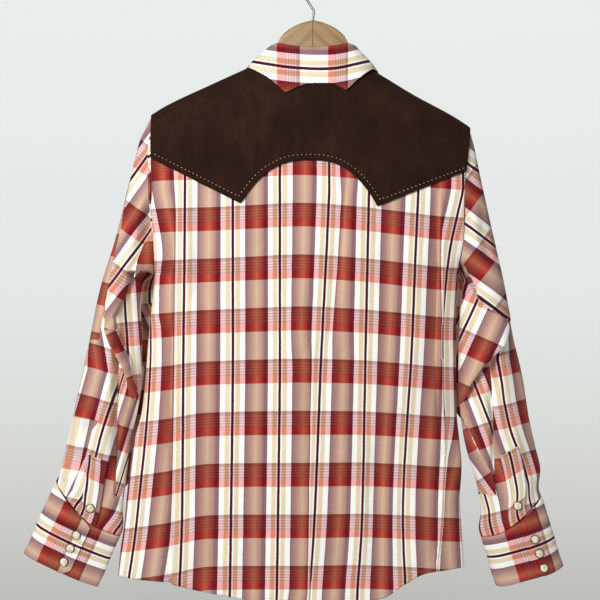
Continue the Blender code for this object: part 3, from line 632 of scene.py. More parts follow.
# How each warp stripe looks where the weft is cream, solid red, red and cream by turns, or a dark thread.
LOOKS = {
    "cream": {
        "line": (72, 14, 32), "white": (250, 248, 242), "cream": (228, 212, 180), "edge": (142, 108, 112),
        "mid": (176, 137, 128), "tan": (196, 157, 138), "heart": (210, 178, 150),
    },
    "red": {
        "line": (68, 12, 28), "white": (240, 176, 172), "cream": (208, 134, 108), "edge": (106, 16, 28),
        "mid": (142, 34, 36), "tan": (168, 58, 48), "heart": (186, 86, 66),
    },
    "fine": {
        "line": (68, 12, 28), "white": (236, 200, 202), "cream": (204, 152, 120), "edge": (112, 30, 36),
        "mid": (142, 52, 44), "tan": (162, 74, 56), "heart": (178, 98, 74),
    },
    "dark": {
        "line": (52, 12, 24), "white": (164, 138, 144), "cream": (152, 108, 84), "edge": (80, 26, 28),
        "mid": (102, 40, 34), "tan": (120, 56, 42), "heart": (132, 74, 54),
    },
}
RED_BAND = 32.0
TOP_THREADS = 3.6  # dark threads along the top of a red band
BAND_START = 0.3
FINE_ZONE = 17.0
FINE_STEP = 3.75
SOLID_RED = RED_BAND - TOP_THREADS - FINE_ZONE
THREAD = 0.45
BLOCK = (16.75, 48.25)  # where the dark block starts and ends across the repeat
BLOCK_STEP = 2.625
STRIPE_SOFT, BAND_SOFT, BLOCK_SOFT = 0.12, 0.25, 0.2  # half widths of the soft edges in the check
SWAY = 0.0007  # how far the threads wander, in metres
DARK_SHARE, DARK_SHARP = 0.7, 1.6  # how strong and how narrow the dark weft threads are
# How much each kind of shade changes the colour, and the heights of the cloth's bumps in millimetres.
BLOCK_SHADE, THREAD_SHADE, CLOUD_SHADE, LEAST_SHADE = 0.075, 0.13, 0.10, 0.81
WEAVE_HIGH, PUCKER_HIGH, RUMPLE_HIGH = 0.04, 0.45, 2.2


def stripe_stops(look):
    """Stops of one look of the check, with hard edges but for the soft shades inside the block."""
    stops, at = [], 0.0
    blended = [False] + [kind in BLEND_STRIPES for kind, _ in STRIPES] + [False]
    for i, (kind, wide) in enumerate(STRIPES):
        start, end = at, at + wide
        colour = srgb(*LOOKS[look][kind])
        before, inside, after = blended[i : i + 3]
        if inside and before and after:
            stops.append(((start + end) / 2, colour))
        else:
            stops.append((start + (0 if i == 0 else STRIPE_SOFT), colour))
            if not (inside and after):
                stops.append((end - STRIPE_SOFT, colour))
        at = end
    return [(place / WARP_REPEAT, colour) for place, colour in stops]


def strip(tree, at, repeat, start, end, soft):
    """1 between two places of a repeat in millimetres, and 0 elsewhere."""
    grey = ((0.0, 0.0), (start - soft, 0.0), (start + soft, 1.0), (end - soft, 1.0), (end + soft, 0.0))
    return ramp(tree, at, [(p / repeat, (v, v, v, 1)) for p, v in grey if p >= 0])


def check_colour(tree, across, along):
    """Colour of the check from the shares across and along its repeat, without the threads' shades."""
    looks = {look: ramp(tree, across, stripe_stops(look)) for look in LOOKS}
    fine_end = RED_BAND - SOLID_RED
    bands = ((BAND_START, RED_BAND), (fine_end, RED_BAND), (TOP_THREADS, fine_end), (BAND_START, TOP_THREADS))
    red, solid_red, fine, top = (strip(tree, along, WEFT_REPEAT, *ends, BAND_SOFT) for ends in bands)
    phase = maths(tree, "MULTIPLY", along, 2 * math.pi * WEFT_REPEAT / FINE_STEP)
    lines = maths(tree, "MULTIPLY_ADD", maths(tree, "SINE", phase), 0.5, 0.5)
    lines = maths(tree, "MULTIPLY", maths(tree, "POWER", lines, DARK_SHARP),
                  maths(tree, "MULTIPLY", fine, DARK_SHARE))
    dark = maths(tree, "MAXIMUM", lines, maths(tree, "MULTIPLY", top, DARK_SHARE))
    colour = mixed(tree, red, looks["cream"], looks["fine"])
    colour = mixed(tree, solid_red, colour, looks["red"])
    return mixed(tree, dark, colour, looks["dark"])


def check_shade(tree, place, across):
    """Shades of the single threads, of the pale and dark ones down the block, and of faint worn clouds."""
    block = strip(tree, across, WARP_REPEAT, *BLOCK, BLOCK_SOFT)
    fine = maths(tree, "SINE", maths(tree, "MULTIPLY", across, 2 * math.pi * WARP_REPEAT / BLOCK_STEP))
    fine = maths(tree, "MULTIPLY", maths(tree, "MULTIPLY", fine, block), BLOCK_SHADE)
    shades = []
    for scale, detail, weight in (((1400, 25, 1), 2.0, THREAD_SHADE), ((25, 1400, 1), 2.0, THREAD_SHADE),
                                  ((14, 14, 14), 3.0, CLOUD_SHADE)):
        shades.append(maths(tree, "MULTIPLY", noise(tree, place, scale, detail), weight))
    shade = maths(tree, "ADD", maths(tree, "ADD", shades[0], shades[1]), shades[2])
    shade = maths(tree, "ADD", maths(tree, "ADD", shade, LEAST_SHADE), fine)
    grey = tree.nodes.new("ShaderNodeCombineColor")
    for socket in grey.inputs[:3]:
        tree.links.new(shade, socket)
    return grey.outputs[0]


def weave_height(tree, place, threads):
    """Plain weave, threads over and under each other both ways, on puckered and rumpled cloth."""
    thread = 2 * math.pi / (THREAD * METRES)
    waves = [maths(tree, "SINE", maths(tree, "MULTIPLY", way, thread)) for way in threads[:2]]
    weave = maths(tree, "MULTIPLY", *waves)
    pucker = noise(tree, place, (150, 150, 150), 3.0)
    rumple = noise(tree, place, (42, 30, 30), 2.0)
    height = maths(tree, "ADD", maths(tree, "MULTIPLY", weave, WEAVE_HIGH),
                   maths(tree, "MULTIPLY", pucker, PUCKER_HIGH))
    return maths(tree, "MULTIPLY_ADD", rumple, RUMPLE_HIGH, height)


def check_cloth():
    """Soft woven cotton with a check of cream, maroon, red and mauve, laid out by the piece's cut."""
    material, tree, shader = nodes_of("check cloth")
    cut = tree.nodes.new("ShaderNodeUVMap")
    cut.uv_map = "cut"
    place = cut.outputs[0]
    threads = tree.nodes.new("ShaderNodeSeparateXYZ")
    tree.links.new(place, threads.inputs[0])
    sway = noise(tree, place, (45, 45, 45), 2.0)
    sway = maths(tree, "MULTIPLY", maths(tree, "SUBTRACT", sway, 0.5), SWAY)
    shares = []
    for way, repeat in zip(threads.outputs, (WARP_REPEAT, WEFT_REPEAT)):
        swayed = maths(tree, "DIVIDE", maths(tree, "ADD", way, sway), repeat * METRES)
        shares.append(maths(tree, "WRAP", swayed, 1.0, 0.0))
    shade = check_shade(tree, place, shares[0])
    colour = mixed(tree, 1.0, check_colour(tree, *shares), shade, "MULTIPLY")
    bumped(tree, shader, weave_height(tree, place, threads.outputs), METRES, 0.8)
    finished(tree, shader, colour, {"Roughness": 0.9, "Sheen Weight": 0.08, "Sheen Roughness": 0.5,
                                    "Specular IOR Level": 0.12})
    return material


def suede():
    """Dark brown suede: a short nap, brushed lighter and darker in soft patches."""
    material, tree, shader = nodes_of("brown suede")
    where = object_place(tree)
    patches = noise(tree, where, (18, 18, 18), 4.0, 0.6)
    brushed = noise(tree, where, (60, 60, 25), 3.0, 0.6)
    nap = noise(tree, where, (1600, 1600, 1600), 2.0)
    light = maths(tree, "ADD", maths(tree, "MULTIPLY", patches, 0.6), maths(tree, "MULTIPLY", brushed, 0.4))
    light = maths(tree, "ADD", light, maths(tree, "MULTIPLY", maths(tree, "SUBTRACT", nap, 0.5), 0.25))
    colour = ramp(tree, light, tones((0.30, (31, 18, 12)), (0.5, (41, 24, 16)), (0.72, (55, 33, 23))))
    bumped(tree, shader, maths(tree, "ADD", nap, maths(tree, "MULTIPLY", brushed, 0.8)), 0.0004, 0.5)
    finished(tree, shader, colour, {"Roughness": 0.95, "Sheen Weight": 0.08, "Sheen Roughness": 0.45,
                                    "Sheen Tint": srgb(150, 110, 90), "Specular IOR Level": 0.1})
    return material


GRAIN_FALLS = 0.75  # how steeply the grain falls away from the middle
GRAIN_TONES = tones((0.30, (120, 90, 57)), (0.45, (154, 123, 84)), (0.56, (164, 134, 93)),
                    (0.72, (133, 102, 67)))
GROOVE_REACH = 0.004  # metres off the middle over which the groove's ramp runs
GROOVE = ((0.0, (0, 0, 0, 1)), (0.09, (0, 0, 0, 1)), (0.24, (1, 1, 1, 1)))


def light_wood():
    """Two halves of light wood under a satin lacquer. The grain falls away from the groove between them."""
    material, tree, shader = nodes_of("light wood")
    at = tree.nodes.new("ShaderNodeSeparateXYZ")
    tree.links.new(object_place(tree), at.inputs[0])
    off = maths(tree, "ABSOLUTE", at.outputs[0])
    run = maths(tree, "SUBTRACT", off, maths(tree, "MULTIPLY", at.outputs[2], GRAIN_FALLS))
    level = maths(tree, "MULTIPLY_ADD", off, GRAIN_FALLS, at.outputs[2])
    flow = tree.nodes.new("ShaderNodeCombineXYZ")
    for value, socket in zip((run, at.outputs[1], level), flow.inputs):
        tree.links.new(value, socket)
    wide = noise(tree, flow.outputs[0], (8, 30, 120), 4.0, 0.55)
    fine = noise(tree, flow.outputs[0], (25, 300, 1300), 3.0, 0.6)
    grain = maths(tree, "MULTIPLY_ADD", fine, 0.3, maths(tree, "MULTIPLY", wide, 0.7))
    groove = ramp(tree, maths(tree, "DIVIDE", off, GROOVE_REACH), GROOVE)
    colour = mixed(tree, groove, srgb(92, 62, 36), ramp(tree, grain, GRAIN_TONES))
    bumped(tree, shader, maths(tree, "MULTIPLY_ADD", fine, 0.15, groove), 0.0006, 0.5)
    finished(tree, shader, colour, {"Roughness": 0.42, "Coat Weight": 0.15, "Coat Roughness": 0.3})
    return material


CHECK = check_cloth()
SUEDE = suede()
WOOD = light_wood()
WIRE_FINISH = clouded("plated wire", (400, 400, 400), 3.0, 0.5,
                      ((0.3, (128, 130, 132)), (0.7, (152, 154, 156))), {"Metallic": 1.0, "Roughness": 0.45})
PEARL = clouded("cream pearl", (260, 260, 420), 3.0, 0.6,
                ((0.32, (196, 176, 140)), (0.5, (230, 217, 186)), (0.7, (247, 240, 222))),
                {"Roughness": 0.22, "Coat Weight": 0.5, "Coat Roughness": 0.08})
PEWTER = clouded("dark pewter", (500, 500, 500), 3.0, 0.5,
                 ((0.3, (92, 88, 84)), (0.7, (136, 132, 126))), {"Metallic": 1.0, "Roughness": 0.36})
TAN_THREAD = clouded("tan thread", (900, 900, 900), 2.0, 0.5,
                     ((0.35, (206, 172, 134)), (0.65, (232, 204, 168))), {"Roughness": 0.75})
ROSE_THREAD = clouded("rose thread", (900, 900, 900), 2.0, 0.5,
                      ((0.35, (138, 98, 90)), (0.65, (166, 122, 112))), {"Roughness": 0.75})

# Back panel, yoke and fronts


def yoke_edge(x):
    """The yoke's lower edge: a bay between two points, and straight to each armhole."""
    x = np.asarray(x, float)
    middle, top = YOKE_BAY
    down = np.full_like(x, top)
    for side in (-1, 1):
        tip_x, tip = YOKE_POINTS[side]
        end_x, end = YOKE_ENDS[side]
        share = np.clip((x - middle) / (tip_x - middle), 0, 1)
        bay = top + (tip - top) * share ** YOKE_BAY_POWER
        run = np.clip((x - tip_x) / (end_x - tip_x), 0, 1.05)
        straight = tip + (end - tip) * run
        here = (x - middle) * side >= 0
        down = np.where(here, np.where((x - tip_x) * side > 0, straight, bay), down)
    return down


def neck_point(x):
    return NECK_DOWN + NECK_TILT * x


def neck_line(face, x):
    """The neck seam on the back or front."""
    inside = np.sqrt(np.clip(1 - (x / NECK_HALF_WIDTH) ** 2, 0, 1))
    return neck_point(x) + NECK_DROP[face] * inside


def neck_edge_x(side, down):
    """The neck seam's x on the front at a level."""
    drop = (down - neck_point(side * NECK_HALF_WIDTH)) / NECK_DROP[1]
    return side * NECK_HALF_WIDTH * np.sqrt(np.clip(1 - drop * drop, 0, 1))


def across_body(share, down):
    left, right = side_x(-1, down), side_x(1, down)
    return (left + right) / 2 + share * (right - left) / 2


def closer_at_ends(count):
    """Shares from -1 to 1, closer together at both ends."""
    share = np.linspace(-1, 1, count)
    return np.sin(share * math.pi / 2) * 0.55 + share * 0.45


PANEL_TOP_AT, PANEL_LOW_AT = 300.0, 840.0  # levels at which a column reads its top and its hem
BACK_ROWS, BACK_COLUMNS = 230, 171
FRONT_ROWS, FRONT_COLUMNS = 150, 96


def back_panel():
    shares = closer_at_ends(BACK_COLUMNS)
    top = yoke_edge(across_body(shares, PANEL_TOP_AT)) - YOKE_UNDER
    low = between(HEM["x"], HEM["down"], across_body(shares, PANEL_LOW_AT))
    down = top + (low - top) * even(BACK_ROWS)[:, None]
    x = across_body(shares[None, :], down)
    points = body_points(-1, x, down)
    seen_x, seen_down = seen(x, down, points[..., 1])
    return [(points, back_warp(seen_x, seen_down), back_weft(seen_x, seen_down))]


PICK_IN, PICK_DEEP, PICK_WIDE = 7.5, 0.5, 1.6  # the pick stitches' groove: how far in, how deep and how wide
PICK_STEP, PICK_LONG, PICK_THICK = 5.7, 1.7, 0.9
PICK_LINE = (-216, 206, 241)  # the first, the last and the number of places that stand for the edge
YOKE_ROWS, YOKE_COLUMNS, YOKE_NECK_COLUMNS, YOKE_FRONT_ROWS = 64, 44, 50, 16
YOKE_POINT_SHARE = {-1: 0.142, 1: 0.0736}  # how far each point is along the way from neck to armhole


def yoke_groove(x, down):
    """How deep the pick stitches draw the suede in, along the lower edge."""
    line = np.linspace(*PICK_LINE)
    far = np.full(np.shape(x), 1e9)
    for at_x, at_down in zip(line, yoke_edge(line)):
        far = np.minimum(far, np.hypot(x - at_x, down - at_down))
    return PICK_DEEP * np.exp(-(((far - PICK_IN) / PICK_WIDE) ** 2))


def shoulder_shares(side):
    """Shares of the way from neck to armhole, in their order towards +X."""
    return np.unique(np.concatenate([even(YOKE_COLUMNS), [YOKE_POINT_SHARE[side]]]))[::side]


def yoke_back():
    levels = even(YOKE_ROWS, 1.6)
    columns = []
    for side in (-1, 1):
        start = side * NECK_HALF_WIDTH
        end = side_x(side, ridge(side * SHOULDER_END))
        for share in shoulder_shares(side):
            x = start + share * (end - start)
            down = ridge(x) + (yoke_edge(x) - ridge(x)) * levels
            columns.append(body_points(-1, start + share * (side_x(side, down) - start), down))
        if side < 0:
            for x in np.linspace(-0.97, 0.97, YOKE_NECK_COLUMNS) * NECK_HALF_WIDTH:
                top = neck_line(-1, x)
                columns.append(body_points(-1, x, top + (yoke_edge(x) - top) * levels))
    back = np.stack(columns, axis=1)
    sunk = yoke_groove(back[..., 0], -back[..., 2])
    return moved_out(back, YOKE_OVER - sunk[..., None])


def yoke_front(side):
    """A front end of the yoke, from its lower edge up to the ridge."""
    shares, start = shoulder_shares(side), side * NECK_HALF_WIDTH
    x = start + shares * (side_x(side, ridge(side * SHOULDER_END)) - start)
    rows = []
    for below in YOKE_FRONT * np.linspace(1, 0, YOKE_FRONT_ROWS) ** 1.5:
        inner = neck_edge_x(side, ridge(start) + below) if below else start
        x_here = inner + shares * (side_x(side, ridge(x) + below) - inner)
        rows.append(body_points(1, x_here, ridge(x_here) + below))
    return moved_out(np.array(rows), YOKE_OVER)


def back_yoke():
    """The back, and the two front ends, whose last rows are the back's first."""
    back, grids = yoke_back(), []
    for side in (-1, 1):
        front = yoke_front(side)
        wide = front.shape[1]
        front[-1] = back[0, :wide] if side < 0 else back[0, -wide:]
        grids.append(front)
    return [(grid, grid[..., 0], -grid[..., 2]) for grid in (back, *grids)]


def front_top(x):
    """Where a front starts: at the yoke's end, or lower along the neck seam."""
    shoulder = ridge(x) + YOKE_FRONT + 3 * GAP
    return np.where(np.abs(x) < NECK_HALF_WIDTH, np.maximum(shoulder, neck_line(1, x) + GAP), shoulder)


def lap(x):
    """How far the upper front stands off the lower one near the middle."""
    return OVER * ease((x + FRONT_LAP_RISE + FRONT_UNDERLAP) / FRONT_LAP_RISE)


FRONT_BAND_TOP = 326.0


def front_cut(x, down):
    return girth(1, x, down) - WARP_REPEAT / 2, down - FRONT_BAND_TOP - 3 * np.sin((x + 60) / 70)


def front_panel(side):
    """The wearer's left front, at -X, laps over the right one."""
    end = -side * FRONT_UNDERLAP
    shares = even(FRONT_COLUMNS)[::side]

    def x_of(share, down):
        return side_x(side, down) * (1 - share) + end * share

    top = front_top(x_of(shares, PANEL_TOP_AT))
    low = between(HEM["x"], HEM["down"], x_of(shares, PANEL_LOW_AT))
    down = top + (low - top) * even(FRONT_ROWS)[:, None]
    x = x_of(shares[None, :], down)
    points = body_points(1, x, down)
    if side < 0:
        points = moved_out(points, lap(x)[..., None])
    return [(points, *front_cut(x, down))]


def front_placket():
    top = NECK_DOWN + NECK_DROP[1] + CLOTH
    low = between(HEM["x"], HEM["down"], 0.0) - 1
    down = np.linspace(top, low, 200)[:, None]
    x = np.linspace(0.5, -0.5, 15)[None, :] * FRONT_PLACKET_WIDTH
    points = moved_out(body_points(1, x, down), 2 * OVER)
    return [(points, x + 0 * down - WARP_REPEAT / 2, down + 0 * x - FRONT_BAND_TOP)]


# Collar

STAND_ROWS, STAND_COLUMNS = 12, 181
STAND_LINE = 14  # the stand's upper edge is this far from a dark line
FALL_ROWS, FALL_BACK_COLUMNS, FALL_SIDE_COLUMNS = 34, 34, 78
FALL_TIP = 2  # which place of each FALL_EDGE is the tip
FALL_END = 176
FALL_READ_ROW = 12
FALL_BACK_TO, FALL_BACK_FADES = 100, 14  # degrees, and the depth over which the back's layout gives way


def neck_ring(angle):
    """Points of the neck seam, by the angle from the centre back."""
    turn = np.radians(angle)
    x = (NECK_HALF_WIDTH - STAND_INSIDE) * np.sin(turn)
    back = np.cos(turn) > 0
    drop = np.where(back, NECK_DROP[-1], NECK_DROP[1]) * np.abs(np.cos(turn))
    down = neck_point(x) + drop
    y = np.where(back, body_y(-1, x, down), body_y(1, x, down))
    return np.stack([x, y, -down], axis=-1)


def fold_ring(angle):
    """Points of the line where the collar folds over."""
    turn, place = np.radians(angle), np.abs(angle)
    x = COLLAR_FOLD_HALF_WIDTH * np.sin(turn)
    y = between(COLLAR_FOLD["angle"], COLLAR_FOLD["y"], place)
    down = between(COLLAR_FOLD["angle"], COLLAR_FOLD["down"], place)
    return np.stack([x, y, -down], axis=-1)


def along_lengths(points, axis):
    """Distance passed along a grid's rows or columns."""
    steps = np.linalg.norm(np.diff(points, axis=axis), axis=-1)
    return np.insert(np.cumsum(steps, axis=axis), 0, 0, axis=axis)


def collar_stand():
    angle = np.linspace(-180 - STAND_OVERLAP, 180 + STAND_OVERLAP, STAND_COLUMNS)
    low, high = neck_ring(angle), fold_ring(angle)
    low[:, 2] += STAND_RAISED
    points = np.stack([high + (low - high) * t for t in even(STAND_ROWS)])
    over = OVER * ease((-angle - STAND_LAP_FROM) / STAND_LAP_RISE)
    points = moved_out(points, over[None, :, None])
    return [(points, along_lengths(points, 0) + STAND_LINE, along_lengths(points, 1))]


# The fall's profile from its fold to its edge, as a share of the roll.
FALL_PROFILE = {"down": (0, 0.05, 0.3, 0.65, 1), "roll": (0.3, 1.0, 1.1, 1.0, 0)}
FALL_LINE = {"x": (-81, -30, 5.4, 20, 78), "down": (123.9, 131.3, 133.4, 133.2, 122.6)}
FALL_LINE_SIDE = 22.0
FALL_SCALE = 1.15
FALL_BANDS = {"x": (-48.6, -17.5, 20.5, 47.2), "weft": (RED_BAND, 0, RED_BAND - WEFT_REPEAT, -WEFT_REPEAT)}


def fall_edge(side, place):
    """Lower edge of the fall at an angle from the centre back, with a sharp tip."""
    edge = FALL_EDGE[side]
    part = slice(0, FALL_TIP + 1) if place <= edge["angle"][FALL_TIP] else slice(FALL_TIP, None)
    x, y, down = (float(between(edge["angle"][part], edge[key][part], place)) for key in ("x", "y", "down"))
    return np.array((x, y, -down))


def fall_points():
    """Points of the fall, and the angle of each column from the centre back."""
    shares = even(FALL_ROWS)[:, None]
    bulge = between(FALL_PROFILE["down"], FALL_PROFILE["roll"], shares)
    columns, places = [], []
    for side in (-1, 1):
        tip = FALL_EDGE[side]["angle"][FALL_TIP]
        back = np.linspace(0 if side > 0 else 3, tip, FALL_BACK_COLUMNS)
        angles = np.unique(np.concatenate([back, np.linspace(tip, FALL_END, FALL_SIDE_COLUMNS)]))
        for place in angles[::side]:
            turn = math.radians(side * place)
            top = fold_ring(np.array([side * place]))[0] + np.array((0, 0, OVER))
            roll = between(COLLAR_FOLD["angle"], COLLAR_FOLD["roll"], place)
            out = np.array((math.sin(turn), -math.cos(turn), 0))
            columns.append(top + (fall_edge(side, place) - top) * shares + out * roll * bulge)
            places.append(side * place)
    return np.stack(columns, axis=1), np.array(places)


def collar_fall():
    points, places = fall_points()
    seen_x, seen_down = seen(points[..., 0], -points[..., 2], points[..., 1])
    on_back = ease((FALL_BACK_FADES - points[..., 1]) / FALL_BACK_FADES) * (np.abs(places) < FALL_BACK_TO)
    line = between(FALL_LINE["x"], FALL_LINE["down"], seen_x)
    off_side = along_lengths(points, 0) - FALL_LINE_SIDE
    warp = ((seen_down - line) * on_back + off_side * (1 - on_back)) / FALL_SCALE
    round_neck = along_lengths(points[FALL_READ_ROW, None], 1)[0]
    middle = int(np.argmin(np.abs(places)))
    round_neck = round_neck - round_neck[middle] + seen_x[FALL_READ_ROW, middle]
    left, right = FALL_BANDS["x"][0], FALL_BANDS["x"][-1]
    weft = np.interp(seen_x, FALL_BANDS["x"], FALL_BANDS["weft"])
    weft = np.where(seen_x < left, RED_BAND + (left - seen_x), weft)
    weft = np.where(seen_x > right, -WEFT_REPEAT - (seen_x - right), weft)
    side_weft = np.where(places < 0, RED_BAND + (left - round_neck), -WEFT_REPEAT - (round_neck - right))
    return [(points, warp, weft * on_back + side_weft * (1 - on_back))]


# Cuffs


def cuff_axes(side):
    """Top middle of a cuff, its outward and lengthwise directions."""
    cuff = CUFFS[side]
    lean = math.radians(cuff["lean"])
    middle = np.array((cuff["x"], 0.0, -cuff["down"]))
    outward = np.array((side * math.cos(lean), 0.0, math.sin(lean)))
    along = np.array((side * math.sin(lean), 0.0, -math.cos(lean)))
    return middle, outward, along


def cuff_top(side, turn):
    """How far a cuff's edge rises above its top line: to a peak at the outer edge."""
    inward = CUFFS[side]["half_width"] * (1 - np.cos(turn))
    return CUFF_PEAK * np.clip(1 - inward / CUFF_PEAK_REACH, 0, 1) ** CUFF_PEAK_POWER


def cuff_point(side, turn, level, out=0.0):
    """A point of a cuff: turn is the angle from its outer edge, and level the distance below its top line."""
    cuff = CUFFS[side]
    middle, outward, along = cuff_axes(side)
    wide = (cuff["half_width"] + out) * np.cos(turn)
    deep = (cuff["half_depth"] + out) * np.sin(turn)
    across = outward * wide[..., None] + np.array((0, 1, 0)) * deep[..., None]
    return middle + across + along * level[..., None]


CUFF_LAP_FULL, CUFF_LAP_RISE = math.radians(14), math.radians(50)
CUFF_LAP_OVER = 1.4
CUFF_LINE = {-1: 42.0, 1: 41.4}  # from the lower edge up to the dark line
CUFF_BAND = {-1: (-15.0, 1), 1: (29.0, -1)}  # weft at the lap's edge, and which way it grows
CUFF_ROWS, CUFF_COLUMNS, CUFF_END_COLUMNS = 40, 170, 18
CUFF_READ_ROW = 20
CUFF_WAVE, CUFF_WAVES = 1.3, 5  # how far the lower edge waves, and how often round
CUFF_DIP = {"deep": 0.8, "level": 52, "reach": 14, "dips": 3}


def cuff_turns(side):
    """Start and end angles of a cuff's strip, which laps over itself on the back."""
    cuff = CUFFS[side]
    start = -math.acos((cuff["edge"] + CUFF_OVERLAP) / cuff["half_width"])
    end = -2 * math.pi - math.acos(cuff["edge"] / cuff["half_width"])
    return start, end


def cuff_over(side, turn):
    """How far the upper end of the strip stands off the lower one."""
    start, _ = cuff_turns(side)
    full = start - 2 * math.pi + CUFF_LAP_FULL
    return OVER * CUFF_LAP_OVER * ease((full + CUFF_LAP_RISE - turn) / CUFF_LAP_RISE)


def cuff(side):
    start, end = cuff_turns(side)
    length, half_width = CUFFS[side]["length"], CUFFS[side]["half_width"]
    corner = CUFF_ROUND / half_width
    rounded = end + corner * (1 - even(CUFF_END_COLUMNS, 0.6)[1:])
    turns = np.concatenate([np.linspace(start, end + corner, CUFF_COLUMNS), rounded])
    near_end = np.clip(1 - (turns - end) * half_width / CUFF_ROUND, 0, 1) ** 2
    top = -cuff_top(side, turns) + CUFF_CORNER_TOP * near_end
    low = length - CUFF_CORNER_LOW * near_end
    level = top + (low - top) * even(CUFF_ROWS)[:, None]
    turn = turns + 0 * level
    # The lower edge waves in and out a little, and the cloth dips here and there round the cuff.
    wave = CUFF_WAVE * np.sin(CUFF_WAVES * turn + side) * ease(level / length)
    dip = CUFF_DIP["deep"] * np.exp(-(((level - CUFF_DIP["level"]) / CUFF_DIP["reach"]) ** 2))
    wave = wave - dip * np.cos(CUFF_DIP["dips"] * turn)
    points = cuff_point(side, turn, level, cuff_over(side, turn) + wave * (1 - near_end))
    arc = along_lengths(points[CUFF_READ_ROW, None], 1)[0]
    first, way = CUFF_BAND[side]
    warp = level - (length - CUFF_LINE[side])
    weft = first + way * (arc[-1] - arc) + 0 * level
    return [tuple(grid[:, ::-side] for grid in (points, warp, weft))]


# Sleeves

SLEEVE_END = (7, 0.8)  # the last rows of a sleeve, above the cuff's edge
SLEEVE_DENTS = {
    "along": (0.36, 0.52, 0.66, 0.8, 0.45, 0.7),
    "round": (-75, -120, -70, -110, 80, 105),
    "reach_along": (0.10, 0.07, 0.10, 0.09, 0.10, 0.12),
    "reach_round": (26, 26, 24, 22, 30, 30),
    "deep": (7, 9, 7, 5, 7, 6),
}
DENT_MOST = 0.6
# Folded panes of cloth on each sleeve's back, each over the one before: its corners, how far each corner
# stands out, and how the check lies on it. That is its slant, a place on a dark line, a place on the top of a
# red band, and the drawn-up share of the check across and along.
SLEEVE_PANES = {
    -1: (
        (
            ((-289, 609.5), (-313, 603), (-345, 594.5), (-350, 640), (-360, 708), (-334, 712), (-308, 658),
             (-299, 621)),
            (-1, 0, 0, 0, 0, -1, -3, -4),
            12, (-332, 620.7), (-308, 572), (1.55, 1.03),
        ),
        (
            ((-255, 318), (-266, 318), (-275, 356), (-286, 387), (-296, 425), (-304, 459), (-314, 499),
             (-289, 499), (-282, 459), (-276, 445), (-268, 389), (-258, 347)),
            (0,) * 12,
            14, (-294, 356), (-262, 356), (1.0, 0.98),
        ),
        (
            ((-205, 186), (-239, 218), (-247, 287), (-255, 318), (-259, 347), (-269, 390), (-276, 433),
             (-279, 449), (-280, 486), (-265, 486), (-265, 472), (-257, 447), (-248, 425), (-234, 404),
             (-205, 358)),
            (0, 0, 0, 1, 2, 3, 4, 5, 6, 4, 2, 1, 0, 2, 0),
            35.8, (-246, 387), (-238, 320), (0.95, 1.12),
        ),
        (
            ((-254, 437), (-257, 447), (-268, 468), (-265, 485), (-254, 515), (-246, 546), (-234, 578),
             (-222, 515), (-218, 473), (-220, 439), (-222, 408), (-249, 408)),
            (-9, -7, -4, -3, -1, 0, 1, -3, -7, -13, -16, -16),
            -5, (-255, 461), (-241, 474), (0.95, 1.03),
        ),
        (
            ((-265, 518), (-255, 539), (-246, 547), (-234, 578), (-225, 590), (-225, 604), (-230, 618),
             (-238, 647), (-240, 668), (-240, 711), (-268, 711), (-266, 647), (-266, 570)),
            (-5, -5, -4, 0, 1, 1, 0, 0, -2, -3, -4, -4, -5),
            17, (-267, 579), (-258, 615), (0.6, 1.07),
        ),
        (
            ((-280, 486), (-273, 504), (-265, 520), (-255, 537), (-250, 556), (-246, 573), (-240, 581),
             (-237, 565), (-244, 546), (-248, 522), (-253, 513), (-265, 486)),
            (9, 10, 10, 8, 6, 4, 2, 2, 3, 3, 3, 5),
            -24, (-237, 506), (-265, 486), (1.0, 0.92),
        ),
        (
            ((-228, 367), (-204, 363), (-204, 399), (-215, 410), (-225, 405), (-234, 407), (-241, 415),
             (-237, 390)),
            (0, 0, 3, 4, 4, 4, 4, 2),
            0, (-192, 382), (-224, 365), (1.0, 1.0),
        ),
        (
            ((-221, 225), (-204, 225), (-204, 366), (-214, 366), (-218, 347), (-222, 313), (-222, 272),
             (-223, 244)),
            (1.2,) * 8,
            60, (-218, 250), (-218, 272), (1.163, 0.67),
        ),
    ),
    1: (
        (
            ((199, 392), (219, 420), (219, 436), (197, 456), (180, 470), (180, 392)),
            (-14,) * 6,
            24.5, (209, 474), (221, 492), (1.0, 0.97),
        ),
        (
            ((197, 195), (213, 195), (218, 230), (278, 330), (284, 445), (268, 473), (260, 470), (240, 459),
             (223, 444), (217, 424), (205, 400), (195, 388), (195, 365), (195, 279)),
            (0, 0, 0, 0, 2, 6, 9, 10, 10, 9, 5, 2, 0, 0),
            -53, (209.6, 346.2), (196, 294), (1.05, 0.97),
        ),
        (
            ((216, 431), (223, 444), (240, 459), (260, 470), (263, 482), (260, 501), (256, 507), (240, 523),
             (225, 542), (214, 559), (208, 576), (196, 589), (180, 587), (180, 506), (186, 462), (197, 453),
             (206, 441)),
            (-2, 0, 2, 4, 9, 9, 9, 8, 8, 7, 6, 3, 0, -3, -4, -2, -2),
            24.5, (209, 474), (221, 492), (1.0, 0.97),
        ),
        (
            ((214, 559), (231, 535), (239, 528), (243, 563), (244, 609), (245, 656), (246, 702), (244, 702),
             (240, 678), (221, 645), (207, 614), (196, 592), (208, 576)),
            (-4, -4, -3, 1, 3, 3, 2, 1, 0, 0, 0, 0, -3),
            -20, (230, 589), (223, 614), (0.95, 1.0),
        ),
        (
            ((180, 592), (196, 593), (207, 615), (221, 646), (240, 678), (247, 707), (220, 707), (200, 654),
             (180, 612)),
            (2, 3, 4, 4, 3, 2, -2, -3, 0),
            -35, (234, 608), (204, 619), (1.0, 0.97),
        ),
    ),
}
